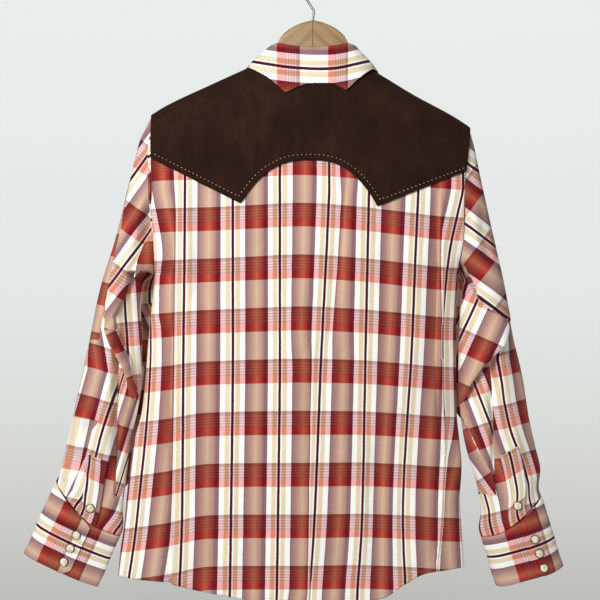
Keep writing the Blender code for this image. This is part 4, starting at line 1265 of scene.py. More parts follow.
# The plain hang of each sleeve: its slant, where its dark line stands off the outer edge at some levels, and
# a place on the top of a red band.
SLEEVE_HANG = {
    -1: {
        "slant": 16,
        "down": (213, 290, 430, 537, 580, 620, 655, 687),
        "line": (32, 32, 32, 70, 64, 57.5, 54, 47),
        "band": (-304, 574),
    },
    1: {
        "slant": -13.7,
        "down": (236, 430, 518, 570, 618, 664, 700),
        "line": (30, 30, 46, 45, 40.5, 35.5, 29),
        "band": (270, 583),
    },
}
SLEEVE_CREASES = {
    -1: (
        (((-222, 262), (-246, 300), (-262, 372), (-272, 430)), -3.0, 9),
        (((-212, 300), (-226, 352), (-246, 410), (-262, 462)), -3.6, 8),
        (((-210, 262), (-232, 320), (-252, 380)), 2.4, 8),
        (((-290, 470), (-291, 540), (-300, 640), (-309, 700)), -2.6, 10),
        (((-268, 500), (-278, 560), (-284, 640), (-290, 690)), 2.6, 10),
        (((-312, 560), (-318, 640), (-322, 690)), 2.0, 9),
        (((-262, 492), (-267, 520), (-266, 580), (-268, 690)), -6.0, 5),
        (((-325, 640), (-318, 670), (-300, 690)), -2.0, 7),
    ),
    1: (
        (((206, 240), (222, 300), (246, 360), (266, 420)), -3.0, 10),
        (((200, 300), (214, 360), (236, 410), (256, 450)), 2.6, 8),
        (((198, 380), (212, 420), (236, 446)), -3.0, 7),
        (((244, 505), (242, 569), (244, 621), (245, 690)), -7.0, 5),
        (((254, 480), (260, 560), (274, 640), (286, 690)), 2.4, 8),
        (((268, 470), (274, 540), (288, 620), (296, 690)), -2.0, 8),
        (((196, 470), (210, 500), (216, 540)), -2.2, 9),
        (((230, 480), (236, 505), (226, 532)), 1.6, 8),
    ),
}
SLEEVE_FRONT_CREASES = {
    -1: (
        (((-222, 262), (-246, 330), (-262, 402)), -3.5, 10),
        (((-234, 300), (-262, 372), (-282, 450)), 2.5, 10),
        (((-236, 470), (-262, 498), (-290, 506)), -4.0, 9),
        (((-240, 520), (-268, 548), (-300, 552)), 3.0, 10),
        (((-300, 560), (-306, 640), (-314, 700)), -3.0, 10),
        (((-262, 580), (-272, 660), (-284, 710)), -3.0, 10),
    ),
    1: (
        (((206, 262), (226, 330), (246, 402)), -3.5, 10),
        (((216, 300), (244, 372), (258, 450)), 2.5, 10),
        (((206, 470), (232, 498), (258, 502)), -4.0, 9),
        (((208, 520), (238, 548), (268, 548)), 3.0, 10),
        (((272, 560), (280, 640), (288, 700)), -3.0, 10),
        (((228, 580), (240, 660), (254, 710)), -3.0, 10),
    ),
}
# Cloth gathered behind the armpit: the levels and the degrees off the underarm seam where it grows and fades.
UNDERARM_FILL = {-1: (372, 402, 690, 722), 1: (372, 402, 590, 640)}
FILL_FROM, FILL_FULL, FILL_FADES, FILL_GONE = 32, 62, 68, 112
FALL_OFF = 2.4  # a pane's lift ends this far outside its edge
LIFT, CREASED = 1.35, 1.4
RUN_ON = 60.0  # a pane's check runs on this far round the front
HALVES = np.array((((0, 1, 2), (0, 2, 3)), ((0, 1, 3), (1, 2, 3))))  # the two ways to split a face's corners
SLEEVE_ROWS, SLEEVE_BACK_COLUMNS, SLEEVE_FRONT_COLUMNS = 236, 136, 58
EDGE_WITHIN = 2  # the front takes on the pane that lies this far inside the outer edge


def flowing(rows, knots, at):
    """Read rows of points along a smooth curve through them."""
    step = np.diff(knots)[:, None, None]
    rise = np.diff(rows, axis=0) / step
    inner = (rise[1:] * step[:-1] + rise[:-1] * step[1:]) / (step[1:] + step[:-1])
    slope = np.concatenate([rise[:1], inner, rise[-1:]])
    i = np.clip(np.searchsorted(knots, at, side="right") - 1, 0, len(knots) - 2)
    t = ((at - knots[i]) / np.diff(knots)[i])[:, None, None]
    step = step[i]
    ends = rows[i] * (1 + 2 * t) * (1 - t) ** 2 + rows[i + 1] * t * t * (3 - 2 * t)
    return ends + slope[i] * step * t * (1 - t) ** 2 + slope[i + 1] * step * t * t * (t - 1)


def sleeve_rings(side, turns):
    """Rings of points down a sleeve, each at the given angles from the sleeve's outer edge."""
    table = SLEEVES[side]
    top, low = ARMHOLE_TOP[side], UNDERARM
    upper = np.clip(np.cos(turns), 0, 1)
    down = (top + low) / 2 - (low - top) / 2 * np.cos(turns) - ARMHOLE_FULLER * upper
    x = side_x(side, down) + side * ARMHOLE_SEAM
    rings = [np.stack([x, (ARMHOLE_HALF_DEPTH + ARMHOLE_FULLER * upper) * np.sin(turns), -down], axis=-1)]
    for k in range(len(table["out_x"])):
        outer = np.array((table["out_x"][k], 0, -table["out_down"][k]), float)
        inner = np.array((table["in_x"][k], 0, -table["in_down"][k]), float)
        middle, reach = (outer + inner) / 2, (outer - inner) / 2
        deep = np.array((0, 1, 0)) * (table["half_depth"][k] * np.sin(turns))[:, None]
        rings.append(middle + reach * np.cos(turns)[:, None] + deep)
    for above in SLEEVE_END:
        rings.append(cuff_point(side, turns, -cuff_top(side, turns) - above))
    return np.array(rings)


def ring_knots(rings):
    """How far down the sleeve each ring is."""
    spaces = np.linalg.norm(np.diff(rings, axis=0), axis=-1).mean(axis=1)
    return np.insert(np.cumsum(spaces), 0, 0)


def sleeve_form(side, places, turns):
    """Points of the plain sleeve with its soft dents, at shares of the way down and angles round it."""
    rings = sleeve_rings(side, turns)
    knots = ring_knots(rings)
    at = np.interp(np.asarray(places) * (len(rings) - 1), np.arange(len(rings)), knots)
    points = flowing(rings, knots, at)
    degrees = np.degrees(turns)[None, :]
    dent = 0 * points[..., 0]
    for along, centre, reach_along, reach_round, deep in zip(*SLEEVE_DENTS.values()):
        far = (np.asarray(places)[:, None] - along) / reach_along
        off = ((degrees - centre + 180) % 360 - 180) / reach_round
        dent += deep * np.exp(-(far**2) - off**2)
    points[..., 1] -= np.sign(points[..., 1]) * np.minimum(dent, np.abs(points[..., 1]) * DENT_MOST)
    # The cloth gathers behind the armpit and closes it.
    first, full, last, end = UNDERARM_FILL[side]
    down = -points[..., 2]
    near = ease((down - first) / (full - first)) * ease((end - down) / (end - last))
    off_seam = np.abs((degrees % 360) - 180)
    front = ease((off_seam - FILL_FROM) / (FILL_FULL - FILL_FROM))
    front = front * ease((FILL_GONE - off_seam) / (FILL_GONE - FILL_FADES)) * (points[..., 1] > 0)
    gap = np.maximum(side * (points[..., 0] - side_x(side, down)) - CLOTH, 0)
    points[..., 0] -= side * gap * near * front
    return points


def inside_of(corners, x, down):
    """Distance inside a pane's edge, negative outside."""
    nearest, inside = np.full(np.shape(x), 1e9), np.zeros(np.shape(x), bool)
    ahead = corners[1:] + corners[:1]
    for (ax, ad), (bx, bd) in zip(corners, ahead):
        dx, dd = bx - ax, bd - ad
        t = np.clip(((x - ax) * dx + (down - ad) * dd) / (dx * dx + dd * dd), 0, 1)
        nearest = np.minimum(nearest, np.hypot(x - ax - t * dx, down - ad - t * dd))
        if ad != bd:
            crosses = (ad > down) != (bd > down)
            inside ^= crosses & (x < (bx - ax) * (down - ad) / (bd - ad) + ax)
    return np.where(inside, nearest, -nearest)


def nearest_edge(panes, x, down):
    """The step from each place to the nearest pane edge."""
    best = np.full(np.shape(x), 1e9)
    step = np.zeros(np.shape(x) + (2,))
    for corners, *_ in panes:
        for (ax, ad), (bx, bd) in zip(corners, corners[1:] + corners[:1]):
            dx, dd = bx - ax, bd - ad
            t = np.clip(((x - ax) * dx + (down - ad) * dd) / (dx * dx + dd * dd), 0, 1)
            off = np.stack([ax + t * dx - x, ad + t * dd - down], axis=-1)
            far = np.linalg.norm(off, axis=-1)
            closer = far < best
            best = np.where(closer, far, best)
            step = np.where(closer[..., None], off, step)
    return step


def pane_cut(slant, line, band, scale, x, down):
    s = math.radians(slant)
    across = (x - line[0]) * math.cos(s) + (down - line[1]) * math.sin(s)
    along = (band[0] - x) * math.sin(s) + (down - band[1]) * math.cos(s)
    return np.stack([across / scale[0], along / scale[1]], axis=-1)


def pane_lift(corners, lifts, x, down):
    total, weight = 0 * x, 0 * x
    for (cx, cd), lift in zip(corners, lifts):
        near = 1 / ((x - cx) ** 2 + (down - cd) ** 2 + 9)
        total, weight = total + near * lift, weight + near
    return total / weight


def shaped(side, points):
    """A sleeve's points with its creases and the lift of its folded panes."""
    points = points.copy()
    back = points[..., 1] < 0
    x, down = seen(points[..., 0], -points[..., 2], points[..., 1])
    lift = 0 * x
    for corners, lifts, *_ in SLEEVE_PANES[side]:
        share = ease(inside_of(corners, x, down) / FALL_OFF + 1)
        lift = lift * (1 - share) + LIFT * pane_lift(corners, lifts, x, down) * share
    lift = lift + CREASED * creases(SLEEVE_CREASES[side], x, down)
    front = creases(SLEEVE_FRONT_CREASES[side], points[..., 0], -points[..., 2])
    room = ease(np.abs(points[..., 1]) / 14)
    points[..., 1] += np.where(back, -lift, front) * room
    return points


def sleeve_turns(side):
    """Angles round a sleeve from its underarm seam, and which of them is its outer edge."""
    back, front = (np.linspace(0, 180, count) for count in (SLEEVE_BACK_COLUMNS, SLEEVE_FRONT_COLUMNS))
    first, second = (front, back) if side < 0 else (back, front)
    return side * np.radians(np.concatenate([180 + first[:-1], 360 + second])), len(first) - 1


def spots_of(side, points, arc, outer):
    """Each point's place as seen on the back, and unrolled beyond the outer edge on the front."""
    spot = np.stack(seen(points[..., 0], -points[..., 2], points[..., 1]), axis=-1)
    edge = spot[:, outer]
    run = np.gradient(edge, axis=0)
    run /= np.linalg.norm(run, axis=-1, keepdims=True)
    outward = side * np.stack([run[:, 1], -run[:, 0]], axis=-1)
    unrolled = edge[:, None] + outward[:, None] * np.abs(arc)[..., None]
    return np.where((arc * side <= 0)[..., None], spot, unrolled), edge, outward


def crossed(a, b):
    """The area between two steps."""
    return a[..., 0] * b[..., 1] - a[..., 1] * b[..., 0]


def onto_folds(side, points, spot, on_back):
    """Move the points by a fold's edge onto it, so that the edge runs clean, and say which they are."""
    step = nearest_edge(SLEEVE_PANES[side], spot[..., 0], spot[..., 1])
    rows, columns = np.gradient(spot, axis=0), np.gradient(spot, axis=1)
    turned = crossed(rows, columns)
    steady = on_back & (np.abs(turned) > 0.5)
    turned = np.where(steady, turned, 1)
    by_row, by_column = crossed(step, columns) / turned, crossed(rows, step) / turned
    move = steady & (np.abs(by_row) < 0.5) & (np.abs(by_column) < 0.5)
    move[[0, -1]] = False
    by_row, by_column = np.where(move, by_row, 0)[..., None], np.where(move, by_column, 0)[..., None]
    points = points + np.gradient(points, axis=0) * by_row + np.gradient(points, axis=1) * by_column
    return points, np.where(move[..., None], spot + step, spot), move


def sleeve_cuts(side, spot, arc, edge, inner_edge, outer):
    """Places in the check at each point: those of the plain hang, then those of each pane."""
    hang, on_back = SLEEVE_HANG[side], (arc * side <= 0)[..., None]
    plain = pane_cut(hang["slant"], (0, 0), hang["band"], (1, 1), spot[..., 0], spot[..., 1])
    plain[..., 0] = arc + side * np.interp(edge[:, 1], hang["down"], hang["line"])[:, None]
    cuts, beyond = [plain], 1 - ease(np.abs(arc) / RUN_ON)[..., None]
    repeat = (WARP_REPEAT, WEFT_REPEAT)
    for corners, _, slant, dark, band, scale in SLEEVE_PANES[side]:
        cut = pane_cut(slant, dark, band, scale, spot[..., 0], spot[..., 1])
        at_edge = inside_of(corners, *inner_edge.T) > 0
        if at_edge.any():
            repeats = np.round((plain - cut)[at_edge][:, outer].mean(axis=0) / repeat)
            cut = np.where(on_back, cut, cut * beyond + (plain - repeats * repeat) * (1 - beyond))
        cuts.append(cut)
    return cuts


def faces_cut(side, spot, cuts, move, on_back, inner_edge):
    """The place in the check at the corners of each face's two triangles, and how the faces are split."""
    # Each face is split along a fold's edge that runs through two of its corners.
    onto = corners_of(move)
    other_way = onto[..., 1] & onto[..., 3] & ~(onto[..., 0] & onto[..., 2])
    split = np.where(other_way[..., None, None], HALVES[1], HALVES[0])

    def halves_of(grid):
        return np.take_along_axis(corners_of(grid)[:, :, None], split[..., None], axis=3)

    middle = halves_of(spot).mean(axis=3)
    edge_middle = inner_edge[:-1] * 0.5 + inner_edge[1:] * 0.5
    which = np.zeros(middle.shape[:3], int)
    face_back = halves_of(on_back[..., None])[..., 0].all(axis=3)
    for k, (corners, *_) in enumerate(SLEEVE_PANES[side]):
        in_pane = inside_of(corners, middle[..., 0], middle[..., 1]) > 0
        at_edge = inside_of(corners, edge_middle[:, 0], edge_middle[:, 1]) > 0
        which = np.where(np.where(face_back, in_pane, at_edge[:, None, None]), k + 1, which)
    every = np.array([halves_of(cut) for cut in cuts])
    return np.take_along_axis(every, which[None, ..., None, None], axis=0)[0], split


def sleeve(side):
    turns, outer = sleeve_turns(side)
    rings = sleeve_rings(side, turns)
    knots = ring_knots(rings)
    places = np.interp(np.linspace(0, knots[-1], SLEEVE_ROWS), knots, np.arange(len(rings)))
    points = sleeve_form(side, places / (len(rings) - 1), turns)
    arc = along_lengths(points, 1)
    arc = arc - arc[:, outer : outer + 1]
    on_back = arc * side <= 0
    spot, edge, outward = spots_of(side, points, arc, outer)
    inner_edge = edge - EDGE_WITHIN * outward
    points, spot, move = onto_folds(side, points, spot, on_back)
    cuts = sleeve_cuts(side, spot, arc, edge, inner_edge, outer)
    chosen, split = faces_cut(side, spot, cuts, move, on_back, inner_edge)
    points = shaped(side, points)
    points[:, -1] = points[:, 0]
    return [(points, chosen[..., 0], chosen[..., 1], split)]


PLACKET_LINE = {-1: -10.0, 1: 0.0}  # from the strip's middle to its dark line
PLACKET_BAND = {-1: 650.4, 1: 636.6}  # level of a red band's top on the strip


def sleeve_placket(side):
    """A strip on the back of the sleeve above the cuff."""
    start, end, angle = SLEEVE_PLACKET[side]
    shares = np.linspace(-0.5, 0.5, 13) * side
    strip = []
    for place in np.linspace(start, end, 66):
        pair = sleeve_form(side, np.array([place]), np.radians(np.array([angle - 2.0, angle + 2.0])))[0]
        per_degree = np.linalg.norm(pair[1] - pair[0]) / 4
        turns = np.radians(angle + shares * PLACKET_WIDTH / per_degree)
        strip.append(sleeve_form(side, np.array([place]), turns)[0])
    points = moved_out(shaped(side, np.array(strip)), OVER + 0.7)
    arc = along_lengths(points[:, 6:7], 0)[:, 0]
    _, level = seen(points[:, 6, 0], -points[:, 6, 2], points[:, 6, 1])
    arc = arc - np.interp(PLACKET_BAND[side], level, arc)
    across = (along_lengths(points, 1) - PLACKET_WIDTH / 2) - PLACKET_LINE[side]
    return [(points, across, arc[:, None] + 0 * across)]


# Snaps: turned profiles of (radius, height) for the metal ring and the cap on it.
RING_PROFILE = ((0, 0), (5.9, 0), (6.2, 0.4), (6.2, 1.3), (5.95, 1.75), (5.5, 2.0), (5.05, 1.85))
CAP_PROFILE = ((5.0, 1.9), (4.75, 2.35), (4.2, 2.75), (3.3, 3.08), (2.1, 3.28), (0.9, 3.37), (0, 3.4))
SNAP_SIDES = 32
SNAP_OFF = 0.02  # from the cloth's face to the snap


def snap(name, surface, thick, face):
    """A snap seated on the visible cloth nearest to where its solid stands."""
    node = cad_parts[name]
    corners = np.array([node.matrix_world @ v.co for v in node.data.vertices]) / METRES
    centre = corners.mean(axis=0)
    normal = normals(surface)
    far = np.linalg.norm(surface - centre, axis=-1)
    i, j = np.unravel_index(np.argmin(far), far.shape)
    out = Vector(normal[i, j])
    if out.y * face < 0:
        out = -out
    along = Vector(centre - surface[i, j])
    seat = Vector(centre) - out * along.dot(out) + out * (thick / 2 + SNAP_OFF)
    turn = out.to_track_quat("Z", "Y")
    points, faces, finishes, rings = [], [], [], []
    for radius, height in RING_PROFILE + CAP_PROFILE:
        count = SNAP_SIDES if radius else 1
        rings.append(range(len(points), len(points) + count))
        for k in range(count):
            a = 2 * math.pi * k / SNAP_SIDES
            points.append(seat + turn @ Vector((radius * math.cos(a), radius * math.sin(a), height)))
    for number, (low, high) in enumerate(zip(rings, rings[1:])):
        for k in range(SNAP_SIDES):
            n = (k + 1) % SNAP_SIDES
            ring = [low[k % len(low)], low[n % len(low)], high[n % len(high)], high[k % len(high)]]
            faces.append(list(dict.fromkeys(ring)))
            finishes.append(0 if number < len(RING_PROFILE) else 1)
    thing = solid(name + "_cap", points, faces, [PEWTER, PEARL], finishes)
    stands_for(thing, name)


# Hanger

HANGER_THICK = 12
HANGER_EDGE_ROUND = 5
DOME_TOP = 68
DOME_HALF_WIDTH = 48
DOME_HEIGHT = 36
DOME_POWER = 4 / 3
HANGER_FLANK = ((51, 112), (58, 124), (70, 136), (82, 140.5))
HANGER_SEAT = 0.7
HANGER_REACH = {-1: 203, 1: 199}
HANGER_LOW = {
    "x": (-203, -150, -100, -50, 0, 50, 100, 150, 199),
    "down": (209, 188, 170, 160, 157, 162, 179, 204, 231),
}
HANGER_ARM_FROM = 88
TIP_ROUND, TIP_TURNS = 10, (15, 30, 45, 58, 70, 80)
WIRE, WIRE_SIDES = 1.6, 16
WIRE_END = ((1, 0.0), (0.8, 0.6), (0.45, 0.9))  # how far past the end, and how thick, as shares of WIRE
HOOK_RADIUS = 20.6
HOOK_STEM = ((0, 84 - GAP), (0, 66), (1.3, 54.8), (-8.4, 39.8))
HOOK_FROM, HOOK_TO = 225, -38
HOOK_EASED = 2  # rounds of easing of the stem's corners
PACKED_CLOTH = 1.4


def hanger_top(x):
    """Upper edge of an arm, which the yoke rests on."""
    return ridge(x) - YOKE_OVER + PACKED_CLOTH / 2 + HANGER_SEAT


def hanger_low(x):
    return float(between(HANGER_LOW["x"], HANGER_LOW["down"], x))


def hanger_stations():
    """(x, upper edge, lower edge) along the hanger, from its left tip to its right tip."""
    tops, stations = [], []
    for turn in np.radians(np.linspace(8, 172, 61)):
        across = math.cos(turn)
        x = -DOME_HALF_WIDTH * math.copysign(abs(across) ** DOME_POWER, across)
        tops.append((x, DOME_TOP + DOME_HEIGHT * (1 - math.sin(turn))))
    for side in (-1, 1):
        for x in np.linspace(HANGER_FLANK[0][0], HANGER_FLANK[-1][0], 12):
            tops.append((side * x, float(between(*zip(*HANGER_FLANK), x))))
        for x in np.linspace(HANGER_ARM_FROM, HANGER_REACH[side] - TIP_ROUND, 22):
            tops.append((side * x, float(hanger_top(side * x))))
        for turn in np.radians(TIP_TURNS):
            x = side * (HANGER_REACH[side] - TIP_ROUND * (1 - math.sin(turn)))
            top, low = float(hanger_top(x)), hanger_low(x)
            half, middle = (low - top) / 2, (top + low) / 2
            stations.append((x, middle - half * math.cos(turn), middle + half * math.cos(turn)))
    return sorted(stations + [(x, top, hanger_low(x)) for x, top in tops])


def hanger_body():
    """A board with rounded edges: the same rounded section at each station along it."""
    half, arc = HANGER_THICK / 2, np.radians(np.linspace(0, 90, 8))
    points, stations = [], hanger_stations()
    for x, top, low in stations:
        edge = min(HANGER_EDGE_ROUND, (low - top) / 2.2)
        inset = [(half - edge + edge * math.cos(t), edge - edge * math.sin(t)) for t in arc]
        quarter = [(y, top + drop) for y, drop in inset[::-1]] + [(y, low - drop) for y, drop in inset]
        points += [(x, y, -down) for y, down in quarter] + [(x, -y, -down) for y, down in quarter[::-1]]
    count = 4 * len(arc)
    last = (len(stations) - 1) * count
    faces = walls_between(len(stations), count)
    faces += [list(range(count))[::-1], list(range(last, last + count))]
    stands_for(solid("hanger_wood", points, faces, [WOOD]), "hanger_body")


def hook_path():
    """The wire's middle: a stem, a crank and most of a circle open at the lower right."""
    turns = np.radians(np.linspace(HOOK_FROM, HOOK_TO, 60))
    centre = HOOK_RADIUS - WIRE
    join = np.array([(HOOK_RADIUS * math.cos(t), centre - HOOK_RADIUS * math.sin(t)) for t in turns])
    corners = np.concatenate([np.array(HOOK_STEM, float), join[:1]])
    knots = np.insert(np.cumsum(np.linalg.norm(np.diff(corners, axis=0), axis=1)), 0, 0)
    at = np.linspace(0, knots[-1], 70)
    bent = np.stack([np.interp(at, knots, corners[:, k]) for k in (0, 1)], axis=-1)
    for _ in range(HOOK_EASED):
        bent[1:-1] = (bent[:-2] + 2 * bent[1:-1] + bent[2:]) / 4
    return np.concatenate([bent[:-1], join])


def hanger_hook():
    """Wire along the hook's path, with rounded ends."""
    path = hook_path()
    run = np.gradient(path, axis=0)
    run /= np.linalg.norm(run, axis=1, keepdims=True)
    rings = [(0, size, -past * WIRE) for past, size in WIRE_END]
    rings += [(k, 1.0, 0) for k in range(len(path))]
    rings += [(-1, size, past * WIRE) for past, size in WIRE_END[::-1]]
    points = []
    for k, size, past in rings:
        (x, down), (rx, rd) = path[k] + run[k] * past, run[k]
        reach = WIRE * size
        for s in range(WIRE_SIDES):
            a = 2 * math.pi * s / WIRE_SIDES
            wide = reach * math.cos(a)
            points.append((x + rd * wide, reach * math.sin(a), -(down - rx * wide)))
    thing = solid("hook_wire", points, walls_between(len(rings), WIRE_SIDES), [WIRE_FINISH])
    stands_for(thing, "hanger_hook")


# Stitches

STITCH_OFF = 0.1  # from the cloth's face to the middle of a stitch
EDGE_IN = 5.0  # from an edge to the stitches beside it
SEAM_IN = (2.0, 8.0)


STITCH_SOCKETS = (
    ("Paths", "INPUT", "Geometry"), ("Step", "INPUT", "Float"), ("Length", "INPUT", "Float"),
    ("Thick", "INPUT", "Float"), ("Thread", "INPUT", "Material"), ("Stitches", "OUTPUT", "Geometry"),
)
STITCH_NODES = {
    "start": "NodeGroupInput",
    "end": "NodeGroupOutput",
    "curve": "GeometryNodeMeshToCurve",
    "spaced": "GeometryNodeResampleCurve",
    "ball": "GeometryNodeMeshUVSphere",
    "size": "ShaderNodeCombineXYZ",
    "tangent": "GeometryNodeInputTangent",
    "turn": "FunctionNodeAlignRotationToVector",
    "laid": "GeometryNodeInstanceOnPoints",
    "real": "GeometryNodeRealizeInstances",
    "dyed": "GeometryNodeSetMaterial",
}
STITCH_LINKS = (
    ("start", "Paths", "curve", "Mesh"),
    ("curve", "Curve", "spaced", "Curve"),
    ("start", "Step", "spaced", "Length"),
    ("start", "Thick", "size", 0),
    ("start", "Thick", "size", 1),
    ("start", "Length", "size", 2),
    ("tangent", 0, "turn", "Vector"),
    ("spaced", "Curve", "laid", "Points"),
    ("ball", "Mesh", "laid", "Instance"),
    ("turn", "Rotation", "laid", "Rotation"),
    ("size", 0, "laid", "Scale"),
    ("laid", "Instances", "real", "Geometry"),
    ("real", "Geometry", "dyed", "Geometry"),
    ("start", "Thread", "dyed", "Material"),
    ("dyed", "Geometry", "end", "Stitches"),
)


def stitch_tree():
    """Lay stitches along paths: one short rounded stitch every step."""
    tree = bpy.data.node_groups.new("stitches", "GeometryNodeTree")
    for name, way, kind in STITCH_SOCKETS:
        tree.interface.new_socket(name, in_out=way, socket_type="NodeSocket" + kind)
    node = {name: tree.nodes.new(kind) for name, kind in STITCH_NODES.items()}
    node["spaced"].mode = "LENGTH"
    node["turn"].axis = "Z"
    for name, value in (("Segments", 6), ("Rings", 4), ("Radius", 0.5)):
        node["ball"].inputs[name].default_value = value
    for source, out, target, into in STITCH_LINKS:
        tree.links.new(node[source].outputs[out], node[target].inputs[into])
    return tree


def stitches(name, paths, thread, step=2.6, length=1.6, thick=0.34):
    points, edges = [], []
    for path in paths:
        first = len(points)
        points += [Vector(p) * METRES for p in path]
        edges += [(k, k + 1) for k in range(first, len(points) - 1)]
    mesh = bpy.data.meshes.new(name)
    mesh.from_pydata(points, edges, [])
    thing = link(bpy.data.objects.new(name, mesh))
    laid = thing.modifiers.new("stitches", "NODES")
    laid.node_group = STITCHES
    given = {"Step": step * METRES, "Length": length * METRES, "Thick": thick * METRES, "Thread": thread}
    for socket in STITCHES.interface.items_tree:
        if socket.name in given:
            laid[socket.identifier] = given[socket.name]
    drawn = thing.evaluated_get(bpy.context.evaluated_depsgraph_get())
    sewn = bpy.data.meshes.new_from_object(drawn)
    thing.modifiers.clear()
    thing.data = sewn
    sewn.shade_smooth()
    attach(thing, "root")
    return thing


def inset(points, edge, distance, thick=CLOTH):
    """A path on the outer face of a grid, a distance inside one of its edges."""
    grid = moved_out(points, thick / 2 + STITCH_OFF)
    if edge in ("first", "last"):
        grid = grid.transpose(1, 0, 2)
    if edge in ("low", "last"):
        grid = grid[::-1]
    lengths = along_lengths(grid, 0)
    path = []
    for j in range(grid.shape[1]):
        if lengths[-1, j] > distance * 1.5:
            path.append([np.interp(distance, lengths[:, j], grid[:, j, k]) for k in range(3)])
    return path


def yoke_path():
    """The pick stitches' path, a little inside the yoke's lower edge."""
    x = np.linspace(-213, 202, 900)
    down = yoke_edge(x)
    run = np.gradient(np.stack([x, down], axis=-1), axis=0)
    run /= np.linalg.norm(run, axis=-1, keepdims=True)
    inner_x, inner_down = x + run[:, 1] * PICK_IN, down - run[:, 0] * PICK_IN
    far = np.min(np.hypot(inner_x[:, None] - x, inner_down[:, None] - down), axis=1)
    kept = (far > PICK_IN - 0.12) & (inner_x > -213) & (inner_x < 201)
    inner_x, inner_down = inner_x[kept], inner_down[kept]
    y = body_y(-1, inner_x, inner_down) - YOKE_OVER - HIDE / 2 + PICK_DEEP - 0.1
    return np.stack([inner_x, y, -inner_down], axis=-1)


STITCHES = stitch_tree()

# Pieces: how each is made, its cloth, its node, and its flat cut.

GRIDS = {
    "back_panel": back_panel(),
    "back_yoke": back_yoke(),
    "front_left": front_panel(-1),
    "front_right": front_panel(1),
    "front_placket": front_placket(),
    "collar_stand": collar_stand(),
    "collar_fall": collar_fall(),
    "sleeve_left": sleeve(-1),
    "sleeve_right": sleeve(1),
    "sleeve_placket_left": sleeve_placket(-1),
    "sleeve_placket_right": sleeve_placket(1),
    "cuff_left": cuff(-1),
    "cuff_right": cuff(1),
}
WALLS = {"back_yoke": HIDE, "front_placket": DOUBLED, "collar_stand": DOUBLED, "collar_fall": DOUBLED,
         "sleeve_placket_left": DOUBLED, "sleeve_placket_right": DOUBLED, "cuff_left": DOUBLED,
         "cuff_right": DOUBLED}
# Flat cuts in metres.
for name, grids in GRIDS.items():
    hide = name == "back_yoke"
    piece = shell(name + ("_suede" if hide else "_cloth"), grids, SUEDE if hide else CHECK,
                  WALLS.get(name, CLOTH))
    stands_for(piece, name)

for number in range(1, 8):
    snap(f"front_snap_{number}", GRIDS["front_placket"][0][0], DOUBLED, 1)
snap("stand_snap", GRIDS["collar_stand"][0][0], DOUBLED, 1)
for hand in ("left", "right"):
    snap(f"sleeve_snap_{hand}", GRIDS[f"sleeve_placket_{hand}"][0][0], DOUBLED, -1)
    for number in range(1, 4):
        snap(f"cuff_snap_{hand}_{number}", GRIDS[f"cuff_{hand}"][0][0], DOUBLED, -1)
hanger_body()
hanger_hook()

stitches("yoke_stitches", [yoke_path()], TAN_THREAD, PICK_STEP, PICK_LONG, PICK_THICK)
front_flaps = [inset(GRIDS["back_yoke"][k][0], "top", PICK_IN, HIDE) for k in (1, 2)]
stitches("yoke_front_stitches", front_flaps, TAN_THREAD, PICK_STEP, PICK_LONG, PICK_THICK)
EDGES_SEWN = {
    "collar_fall": ("low", "first", "last"),
    "cuff_left": ("low", "first", "last", "top"),
    "cuff_right": ("low", "first", "last", "top"),
    "front_placket": ("first", "last"),
    "sleeve_placket_left": ("first", "last"),
    "sleeve_placket_right": ("first", "last"),
}
paths = []
for name, edges in EDGES_SEWN.items():
    paths += [inset(GRIDS[name][0][0], edge, EDGE_IN, DOUBLED) for edge in edges]
stitches("edge_stitches", paths, ROSE_THREAD)
paths = [inset(GRIDS[name][0][0], "low", HEM_TURNED) for name in ("back_panel", "front_left", "front_right")]
paths += [inset(GRIDS[name][0][0], "top", far) for name in ("sleeve_left", "sleeve_right") for far in SEAM_IN]
stitches("seam_stitches", paths, ROSE_THREAD)


ROOM_LIGHT = 0.26  # how much of the room's brightness falls on the shirt
HALF_VIEW = 405.0  # what the camera sees to each side on the middle plane
ROOM_TONES = tones((0.0, (120, 120, 118)), (0.33, (176, 176, 172)), (0.37, (188, 188, 184)),
                   (0.43, (214, 215, 213)), (0.5, (228, 231, 230)), (0.63, (233, 237, 235)),
                   (1.0, (234, 238, 238)))
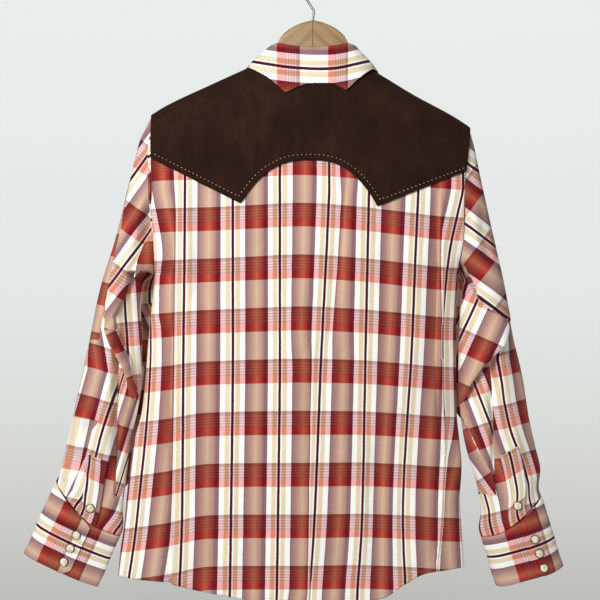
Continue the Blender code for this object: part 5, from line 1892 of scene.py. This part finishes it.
# Area lights: their places in metres, sizes and watts.
LIGHTS = {
    "key": ((-0.9, -1.6, 0.3), 0.7, 40),
    "fill": ((1.1, -1.5, -0.9), 1.4, 6),
    "rear": ((0.3, 1.6, 0.4), 1.4, 24),
}
LIT_PLACE = (0, 0, -0.45)
FLOOR_REACH, FLOOR_LEVEL = 3.0, -2.0


def room():
    """A soft room, darker below, whose light on the shirt is weaker than it looks."""
    world = bpy.data.worlds.new("soft room")
    bpy.context.scene.world = world
    world.use_nodes = True
    tree = world.node_tree
    level = tree.nodes.new("ShaderNodeSeparateXYZ")
    tree.links.new(tree.nodes.new("ShaderNodeTexCoord").outputs["Generated"], level.inputs[0])
    height = maths(tree, "MULTIPLY_ADD", level.outputs[2], 0.5, 0.5)
    tree.links.new(ramp(tree, height, ROOM_TONES), tree.nodes["Background"].inputs[0])
    shown = tree.nodes.new("ShaderNodeLightPath").outputs["Is Camera Ray"]
    strength = maths(tree, "MULTIPLY_ADD", shown, 1 - ROOM_LIGHT, ROOM_LIGHT)
    tree.links.new(strength, tree.nodes["Background"].inputs[1])


def camera_and_lights():
    camera = link(bpy.data.objects.new("camera", bpy.data.cameras.new("camera")))
    camera.location = (VIEW["x"] * METRES, -VIEW["far"] * METRES, -VIEW["down"] * METRES)
    camera.rotation_euler = (math.pi / 2, 0, 0)
    camera.data.angle = 2 * math.atan(HALF_VIEW / VIEW["far"])
    bpy.context.scene.camera = camera
    bpy.context.scene.view_settings.view_transform = "Standard"
    for name, (place, size, power) in LIGHTS.items():
        light = bpy.data.lights.new(name, "AREA")
        light.size, light.energy = size, power
        lamp = link(bpy.data.objects.new(name, light))
        lamp.location = place
        lamp.rotation_euler = (Vector(LIT_PLACE) - lamp.location).to_track_quat("-Z", "Y").to_euler()


def pale_floor():
    mesh = bpy.data.meshes.new("floor")
    ways = ((-1, -1), (1, -1), (1, 1), (-1, 1))
    mesh.from_pydata([(a * FLOOR_REACH, b * FLOOR_REACH, FLOOR_LEVEL) for a, b in ways], [], [(0, 1, 2, 3)])
    material, _, shader = nodes_of("pale floor")
    shader.inputs["Base Color"].default_value = (0.72, 0.73, 0.74, 1)
    shader.inputs["Roughness"].default_value = 0.9
    mesh.materials.append(material)
    link(bpy.data.objects.new("floor", mesh))


camera_and_lights()
room()
pale_floor()
